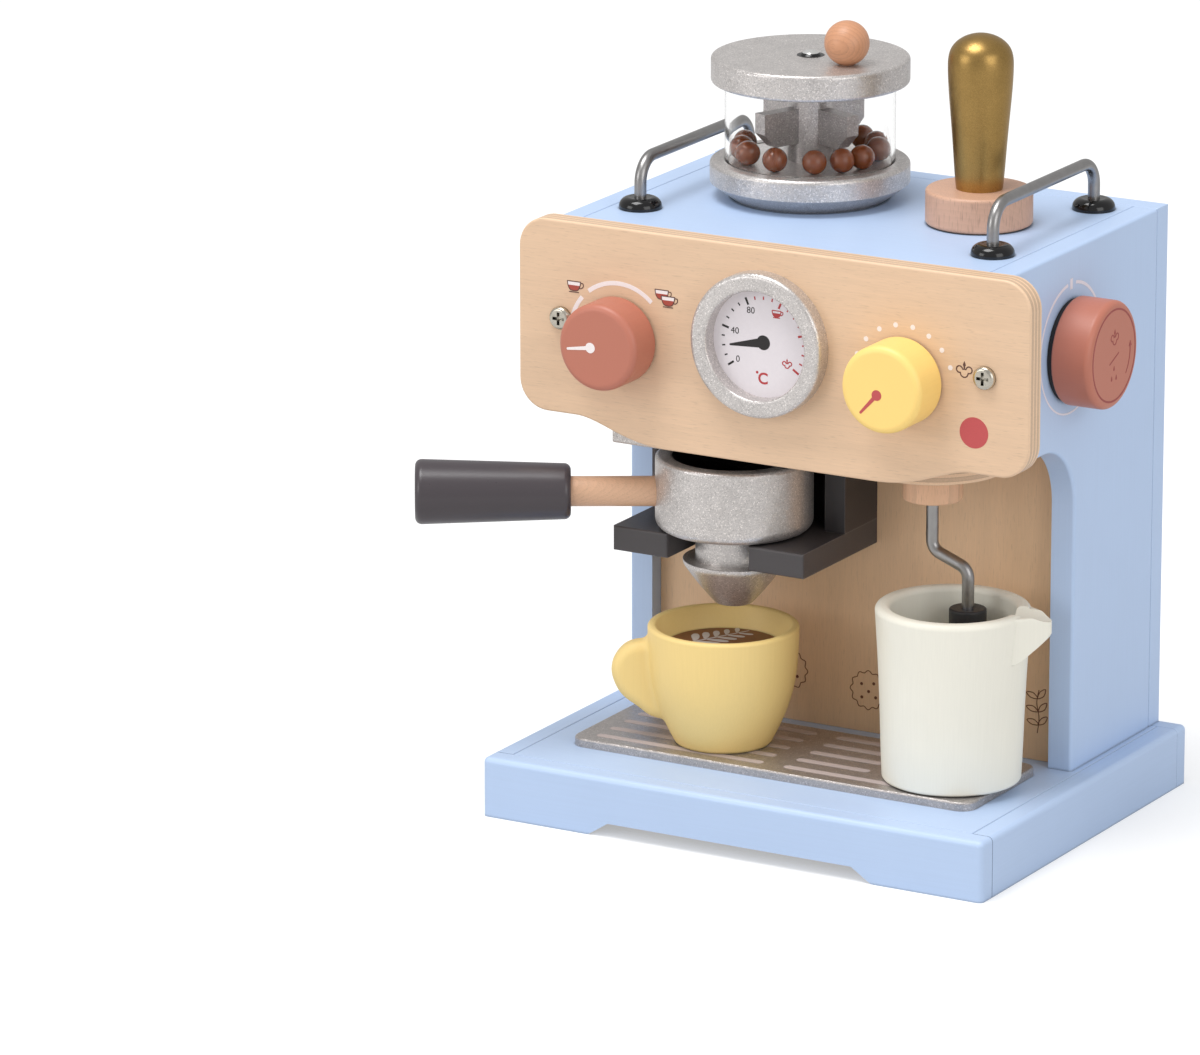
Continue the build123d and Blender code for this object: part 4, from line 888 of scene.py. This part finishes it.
# middles of the panel's printed signs, across and up, in millimetres
RED_SPOT = (99.9, 198.4)
STEAM_SIGN = (94.9, 225.8)
ONE_CUP = (-97.8, 238.3)
TWO_CUPS = (-51.6, 238.3)


class COFFEE_OT_panel_marks(MakerOperator, bpy.types.Operator):
    """Marks printed on the control panel and around the side knob"""

    bl_idname = "coffee_maker.panel_marks"
    bl_label = "Printed Panel Marks"
    # how far apart two films lie where one is printed over the other, in millimetres
    layer = 0.012

    def build(self):
        self.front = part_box("control_panel")[0].y
        white = screen_ink("white_screen_ink_wood", colours().white_ink)
        brown = screen_ink("brown_screen_ink_wood", colours().brown_ink)
        rust = screen_ink("rust_screen_ink_wood", linear("#A8483A"))
        red = screen_ink("red_screen_ink_wood", colours().red_ink)
        reach, wide = sizes().knob_arc_radius / MM, sizes().knob_arc_stroke / MM
        left = at(centre(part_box("brew_knob")), y=self.front) + mm(0, 0, 0.9)
        arcs = [stroke(arc(reach, 128.5, 46.5), wide), stroke(arc(reach, 200, 139), wide)]
        print_mark("brew_scale_arc", arcs, left, white)
        right = at(centre(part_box("steam_knob")), y=self.front)
        places = arc(reach, 159, 20, step=19.8)
        dots = [disc(sizes().dot_radius / MM, *place, count=20) for place in places]
        print_mark("steam_scale_dots", dots, right, white)
        spot = [disc(sizes().spot_radius / MM, count=64)]
        print_mark("red_corner_spot", spot, self.on_panel(RED_SPOT), red)
        inks = (white, rust, brown)
        self.print_cup("single_cup", self.on_panel(ONE_CUP), inks)
        pair = self.on_panel(TWO_CUPS)
        self.print_cup("rear_cup", pair + mm(-1.9, 0, 1.6), inks, saucer=False)
        self.print_cup("near_cup", pair + mm(1.3, -4 * self.layer, -1.0), inks)
        print_mark("steam_sign", steam_sign(7.7, 0.55), self.on_panel(STEAM_SIGN), brown)
        self.build_side_ring(screen_ink("white_screen_ink_paint", linear("#E6E2EC")))

    def on_panel(self, place):
        """A place on the panel's front."""
        return at(mm(place[0], 0, place[1]), y=self.front)

    def print_cup(self, name, place, inks, saucer=True):
        """A small cup in three films, from the inside out: its inside, its filling, its outline."""
        outline, level, inside = cup_sign(8.2)
        films = {"inside": [inside], "filling": [level], "outline": outline[: 4 if saucer else 3]}
        for number, ((part, shapes), ink) in enumerate(zip(films.items(), inks)):
            print_mark(f"{name}_{part}", shapes, place - mm(0, number * self.layer, 0), ink)

    def build_side_ring(self, white):
        """The tapering ring around the side knob, open at its zero mark."""
        place = at(centre(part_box("side_knob")), x=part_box("right_side_panel")[1].x) + mm(0, 0, 0.6)
        reach = sizes().side_ring_radius / MM
        wide, narrow, zero = 1.5, 0.8, -0.3
        ring = [
            stroke(arc(reach, 97, 250), wide, narrow),
            stroke(arc(reach, 250, 442), narrow, wide),
            stroke([(zero, reach - 2.6), (zero, reach + 2.2)], 2.4),
        ]
        print_mark("side_scale_ring", ring, place, white, RIGHT)


class COFFEE_OT_gauge(MakerOperator, bpy.types.Operator):
    """The dial ring, its card, scale, figures and pointer"""

    bl_idname = "coffee_maker.gauge"
    bl_label = "Gauge"

    def build(self):
        dress(coated_card("coated_dial_card", colours().dial), "gauge_dial")
        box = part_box("gauge_dial")
        middle = at(centre(box), y=box[0].y) + mm(0.5, 0, 0.2)
        black = screen_ink("black_screen_ink_dial", colours().black_ink)
        red = screen_ink("red_screen_ink_dial", linear("#B63A3C"))
        cold, hot = self.ticks()
        print_mark("dial_scale_cold", cold, middle, black)
        print_mark("dial_scale_hot", hot, middle, red)
        hub_radius, length, root, tip = 3.3, 16.6, 4.6, 0.9
        print_mark("dial_pointer", pointer(hub_radius, length, root, tip, 189.5), middle, black)
        for text, x, y in (("0", -12.6, -8.9), ("40", -14.1, 3.7), ("80", -6.3, 13.7)):
            place = middle + mm(x, 0, y)
            figures("dial_figure_" + text, text, 2.9, place, black)
        unit = middle + mm(-0.1, 0, -16.3)
        figures("dial_unit_c", "C", 5.0, unit, red, bold=0.15)
        print_mark("dial_unit_degree", [disc(0.62, -3.0, -13.6, 16)], middle, red)
        outline, level, _ = cup_sign(5.4)
        signs = [moved(faces, 6.9, 13.5) for faces in outline + [level]]
        signs += [moved(faces, 11.8, -7.9) for faces in steam_sign(4.6, 0.5)]
        print_mark("dial_signs", signs, middle, red)

    def ticks(self):
        """The scale's marks, every fourth a main one, in a cold and a hot group."""
        first_angle, step, count, last_cold = 214.6, 12.45, 21, 8
        outer = sizes().tick_outer_radius / MM
        cold, hot = [], []
        for number in range(count):
            angle = math.radians(first_angle - step * number)
            main = number % 4 == 0
            inner = outer - (sizes().long_tick if main else sizes().short_tick) / MM
            # small marks end a little inside the main ones
            rim = outer if main else outer - 0.5
            ends = [(r * math.cos(angle), r * math.sin(angle)) for r in (inner, rim)]
            (cold if number <= last_cold else hot).append(stroke(ends, 0.95 if main else 0.62))
        return cold, hot


class COFFEE_OT_silver(MakerOperator, bpy.types.Operator):
    """Silver sprayed pieces, and the pale bars on the drip tray"""

    bl_idname = "coffee_maker.silver"
    bl_label = "Silver Paint"

    def build(self):
        silver = flake_paint("silver_flake_paint", colours().silver)
        dress(silver, "gauge_ring", "brew_plate", "portafilter_spout", "hopper_base", "grinder_lid")
        # painted shade and reflection: darker copies of the silver, the tray's for the wood it
        # mirrors and the rotor's for the shade inside the hopper
        dress(flake_paint("silver_flake_paint_tray_shaded", linear("#B2ACA9")), "drip_tray")
        rotor = flake_paint("silver_flake_paint_rotor_shaded", linear("#AAA4A2"), 1.6, 0.7)
        dress(rotor, "rotor_post", *(f"rotor_paddle_{number}" for number in range(1, 5)))
        # black inside the cup's bore, from 1 mm above its bottom
        bore_black = {
            "bore_black": linear("#1B1A1B"),
            "axis": centre(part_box("portafilter_spout")),
            "radius": 27.6,
            "floor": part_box("portafilter_cup")[0].z + 1 * MM,
        }
        name = "silver_flake_paint_black_inside"
        dress(flake_paint_black_bore(name, colours().silver, **bore_black), "portafilter_cup")
        self.build_tray_bars()
        self.build_rivet_ring()

    def build_rivet_ring(self):
        """A black ring on the lid around the rivet."""
        origin = at(centre(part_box("lid_rivet")), z=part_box("grinder_lid")[1].z)
        black = screen_ink("black_ring_around_rivet", linear("#161414"), 0.3)
        radius, width = 5.5, 1.4
        line = stroke(arc(radius, 0, 352, step=8), width, closed=True)
        print_mark("lid_rivet_ring", [line], origin, black, UPWARD, "grinder")

    def build_tray_bars(self):
        """Five rows of printed drain bars in two groups, two of the rows broken in each group."""
        top = mm(0, 0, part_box("drip_tray")[1].z / MM)
        pale = screen_ink("pale_grey_screen_ink_tray", linear("#BDB0AE"), 0.45)
        half = sizes().slot_width / MM / 2
        bars = []
        for row, y in enumerate((-151.5, -139.5, -127.0, -114.5, -102.3)):
            for start, end in ((-91.0, -6.5), (4.0, 91.0)):
                middle = (start + end) / 2
                runs = [(start, end)]
                if row in (1, 2):
                    runs = [(start, middle - 7.0), (middle + 2.0, end)]
                for left, right in runs:
                    bar = arc(half, 90, 270, left + half, y, 15)
                    bars.append([bar + arc(half, -90, 90, right - half, y, 15)])
        print_mark("tray_drain_bars", bars, top, pale, UPWARD)


class COFFEE_OT_brew_group(MakerOperator, bpy.types.Operator):
    """Black brew block and fork, and the filter's handle with its dowel"""

    bl_idname = "coffee_maker.brew_group"
    bl_label = "Brew Group and Handle"

    def build(self):
        # edge sets a painted highlight on the edges, strongest on the black paint
        for name, colour, gloss, edge, node in (
            ("satin_black_paint", colours().black, 0.44, 2.6, "brew_block"),
            # painted light: a lighter copy of the block's black, for the fork's lit front
            ("satin_black_paint_fork_lit", linear("#454142"), 0.44, 2.2, "brew_fork"),
            ("satin_dark_grey_paint", colours().handle_grey, 0.3, 1.3, "portafilter_handle"),
        ):
            dress(sprayed_paint(name, colour, "x", gloss, edge), node)
        dowel = turned_wood("turned_beech_dowel", linear("#D6AC8C"), "x", 1.5, late=0.96)
        dress(dowel, "portafilter_dowel")


class COFFEE_OT_steam_wand(MakerOperator, bpy.types.Operator):
    """Steam wand: collar, plated rod, black tip and its hidden retaining disc"""

    bl_idname = "coffee_maker.steam_wand"
    bl_label = "Steam Wand"

    def build(self):
        dress(turned_wood("turned_beech_collar", colours().beech, "z", 4.0), "wand_collar")
        dress(plated_steel("zinc_plated_steel_wand", colours().zinc), "wand_rod")
        tip = moulded_plastic("matt_black_tip_plastic", linear("#2A292B"), 0.48, 0.012)
        dress(tip, "wand_tip", "wand_retainer")


class COFFEE_OT_hopper(MakerOperator, bpy.types.Operator):
    """Bean hopper: clear wall, wooden beans, ball and rivet"""

    bl_idname = "coffee_maker.hopper"
    bl_label = "Bean Hopper"

    def build(self):
        dress(clear_acrylic("clear_extruded_acrylic"), "hopper_cylinder")
        # no painted edge highlight and no painted seam shade on the beads
        lacquer = {"gloss": 0.16, "edge": 1.0, "seam_shadow": 1.0}
        bean = sprayed_paint("brown_lacquered_beads", colours().bean_brown, **lacquer)
        dress(bean, "coffee_beads")
        heart = centre(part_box("lid_ball")) + mm(0, -16, 3)
        ball = turned_wood("turned_beech_ball", linear("#C8906C"), "x", 1.9, heart, 0.9)
        dress(ball, "lid_ball")
        axis, cap_radius = centre(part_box("lid_rivet")), 3.7
        chrome, outer_black = linear("#FBFAF7"), linear("#121112")
        rivet = capped_rivet("polished_chrome_rivet_cap", chrome, outer_black, axis, cap_radius)
        dress(rivet, "lid_rivet")


class COFFEE_OT_rails(MakerOperator, bpy.types.Operator):
    """Cup rails with their black feet"""

    bl_idname = "coffee_maker.rails"
    bl_label = "Cup Rails"

    def build(self):
        dress(plated_steel("zinc_plated_steel_rail", colours().zinc), "left_rail", "right_rail")
        black = moulded_plastic("glossy_black_foot_plastic", colours().plastic_black, 0.13)
        for end in ("front", "rear"):
            dress(black, f"left_rail_{end}_foot", f"right_rail_{end}_foot")


class COFFEE_OT_tamper(MakerOperator, bpy.types.Operator):
    """Tamper: beech disc and golden handle"""

    bl_idname = "coffee_maker.tamper"
    bl_label = "Tamper"

    def build(self):
        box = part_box("tamper_disc")
        heart = at(centre(box), z=box[0].z) - mm(0, 34, 30)
        grain = {"ring": 2.6, "heart": heart, "late": 0.98, "ray": (0.55, 6.0, "z"), "fleck": 0.75}
        dress(turned_wood("turned_beech_disc", linear("#CFA48A"), "x", **grain), "tamper_disc")
        flakes = {"bright": 1.15, "dark": 0.84, "metallic": 0.95, "tilt": 0.06, "size": 0.3}
        dress(flake_paint("gold_flake_paint", colours().gold, **flakes), "tamper_handle")


class COFFEE_OT_cup(MakerOperator, bpy.types.Operator):
    """Cup with its printed coffee"""

    bl_idname = "coffee_maker.cup"
    bl_label = "Cup"

    def build(self):
        dress(sprayed_paint("satin_cup_yellow_paint", colours().cup_yellow, gloss=0.5), "cup_body")
        dress(coffee_print("varnished_coffee_print", colours().coffee), "cup_coffee")
        self.build_foam_leaf()

    def build_foam_leaf(self):
        """A leaf of milk foam: a tapering stem, and five pairs of petals that grow smaller."""
        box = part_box("cup_coffee")
        milk = screen_ink("milk_white_screen_ink", linear("#CFC6C1"))
        leaf = [stroke([(-16.0, 0.0), (17.0, 0.0)], 1.4, 0.6)]
        outline = [(0, 0), (1.6, 2.6), (4.4, 6.0), (7.6, 7.6), (9.4, 6.4), (7.2, 3.2), (3.4, 0.6)]
        petal = smooth(outline, closed=True, cuts=4)
        first_root, spacing, shrink = -13.0, 5.9, 0.1
        length, width, stem_half = 0.82, 1.2, 1.0
        for pair in range(5):
            root, size = first_root + pair * spacing, 1.0 - shrink * pair
            shape = [(root + x * length * size, stem_half + y * width * size) for x, y in petal]
            leaf += [[shape], [[(x, -y) for x, y in reversed(shape)]]]
        turned = [moved(faces, -7.3, 8.6, turn=64.0, grow=0.98) for faces in leaf]
        top = at(centre(box), z=box[1].z)
        print_mark("milk_foam_leaf", turned, top, milk, UPWARD, "cup")


class COFFEE_OT_jug(MakerOperator, bpy.types.Operator):
    """White milk jug"""

    bl_idname = "coffee_maker.jug"
    bl_label = "Milk Jug"

    def build(self):
        white = sprayed_paint("satin_white_paint", colours().jug_white, gloss=0.46, edge=1.03)
        dress(white, "milk_jug")


class COFFEE_OT_fasteners(MakerOperator, bpy.types.Operator):
    """Cross-head screws"""

    bl_idname = "coffee_maker.fasteners"
    bl_label = "Screws"

    def build(self):
        # the recess shadow paints shade into the screws' crosses
        plating_and_recess_shadow = {"roughness": 0.26, "uneven": 0.08, "spangle": 1.5, "recess_shadow": 0.12}
        steel = plated_steel("zinc_plated_screw_steel", linear("#C9C3B6"), **plating_and_recess_shadow)
        dress(steel, "panel_screws", "base_screws", "brew_screws")


class COFFEE_OT_alcove_marks(MakerOperator, bpy.types.Operator):
    """Thin line drawings on the alcove's wooden wall"""

    bl_idname = "coffee_maker.alcove_marks"
    bl_label = "Alcove Drawings"

    def build(self):
        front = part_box("alcove_wall")[0].y
        ink = screen_ink("brown_line_ink_alcove", linear("#6B4028"))
        for name, shapes, x, z in (
            ("alcove_biscuit", self.biscuit(), 6, 47),
            ("alcove_spoon_left", self.spoon(), -78, 52),
            ("alcove_sprig_right", self.sprig(), 91, 50),
            ("alcove_biscuit_left", self.biscuit(), -34, 51),
        ):
            print_mark(name, shapes, at(mm(x, 0, z), y=front), ink)

    def biscuit(self):
        """A round with a wavy edge and five crumbs."""
        radius, waves, depth, cuts = 8.6, 12, 0.07, 6
        edge = []
        for i in range(waves * cuts):
            turn = math.tau * i / (waves * cuts)
            reach = radius * (1 + depth * math.cos(waves * turn))
            edge.append((reach * math.cos(turn), reach * math.sin(turn)))
        crumbs = ((-3.4, 2.6), (2.8, 3.4), (0.2, -0.6), (-3.2, -3.6), (3.8, -3.0))
        return [stroke(edge, FINE_LINE, closed=True)] + [disc(0.75, *crumb, 12) for crumb in crumbs]

    def spoon(self):
        """A spoon that stands on its handle."""
        bowl = [(0, 9.5), (2.9, 7.0), (2.4, 3.4), (0, 2.0), (-2.4, 3.4), (-2.9, 7.0)]
        bowl = stroke(smooth(bowl, closed=True), FINE_LINE, closed=True)
        return [bowl, stroke([(0, 2.0), (0.2, -9.5)], 0.9, 0.6)]

    def sprig(self):
        """A stem with three pairs of leaves."""
        marks = [stroke(smooth([(0, -10), (0.8, -3), (-0.4, 4), (0.6, 10)]), FINE_LINE)]
        leaf = smooth([(0, 0), (2.8, 1.9), (5.8, 1.5), (3.2, -0.6)], closed=True)
        low, middle = ((0.4, -6, 28), (0.6, -6, 150)), ((0.4, 0, 32), (0.2, 0, 148))
        for x, y, turn in (*low, *middle, (0, 6, 36), (0, 6, 144)):
            marks.append(stroke(moved([leaf], x, y, turn)[0], FINE_LINE, closed=True))
        return marks


OPERATORS = (
    COFFEE_OT_stage,
    COFFEE_OT_casing,
    COFFEE_OT_plywood,
    COFFEE_OT_knobs,
    COFFEE_OT_panel_marks,
    COFFEE_OT_gauge,
    COFFEE_OT_silver,
    COFFEE_OT_brew_group,
    COFFEE_OT_steam_wand,
    COFFEE_OT_hopper,
    COFFEE_OT_rails,
    COFFEE_OT_tamper,
    COFFEE_OT_cup,
    COFFEE_OT_jug,
    COFFEE_OT_fasteners,
    COFFEE_OT_alcove_marks,
)


class COFFEE_PT_panel(bpy.types.Panel):
    """Sidebar panel that lists the operators and the settings"""

    bl_idname = "COFFEE_PT_panel"
    bl_label = "Toy Coffee Maker"
    bl_space_type = "VIEW_3D"
    bl_region_type = "UI"
    bl_category = "Coffee Maker"

    def draw(self, context):
        column = self.layout.column(align=True)
        for operator in OPERATORS:
            column.operator(operator.bl_idname, text=operator.bl_label)
        for settings in (context.scene.coffee_maker_sizes, context.scene.coffee_maker_colours):
            box = self.layout.box()
            for name in settings.__annotations__:
                box.prop(settings, name)


CLASSES = (CoffeeMakerSizes, CoffeeMakerColours, *OPERATORS, COFFEE_PT_panel)


def register():
    for cls in CLASSES:
        bpy.utils.register_class(cls)
    bpy.types.Scene.coffee_maker_sizes = PointerProperty(type=CoffeeMakerSizes)
    bpy.types.Scene.coffee_maker_colours = PointerProperty(type=CoffeeMakerColours)


def unregister():
    del bpy.types.Scene.coffee_maker_colours
    del bpy.types.Scene.coffee_maker_sizes
    for cls in reversed(CLASSES):
        bpy.utils.unregister_class(cls)


def main():
    """Registers the classes, sets the plain view transform and builds every piece in order."""
    register()
    bpy.context.scene.view_settings.view_transform = "Standard"
    for operator in OPERATORS:
        group, name = operator.bl_idname.split(".")
        getattr(getattr(bpy.ops, group), name)()
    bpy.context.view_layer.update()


if __name__ == "__main__":
    main()
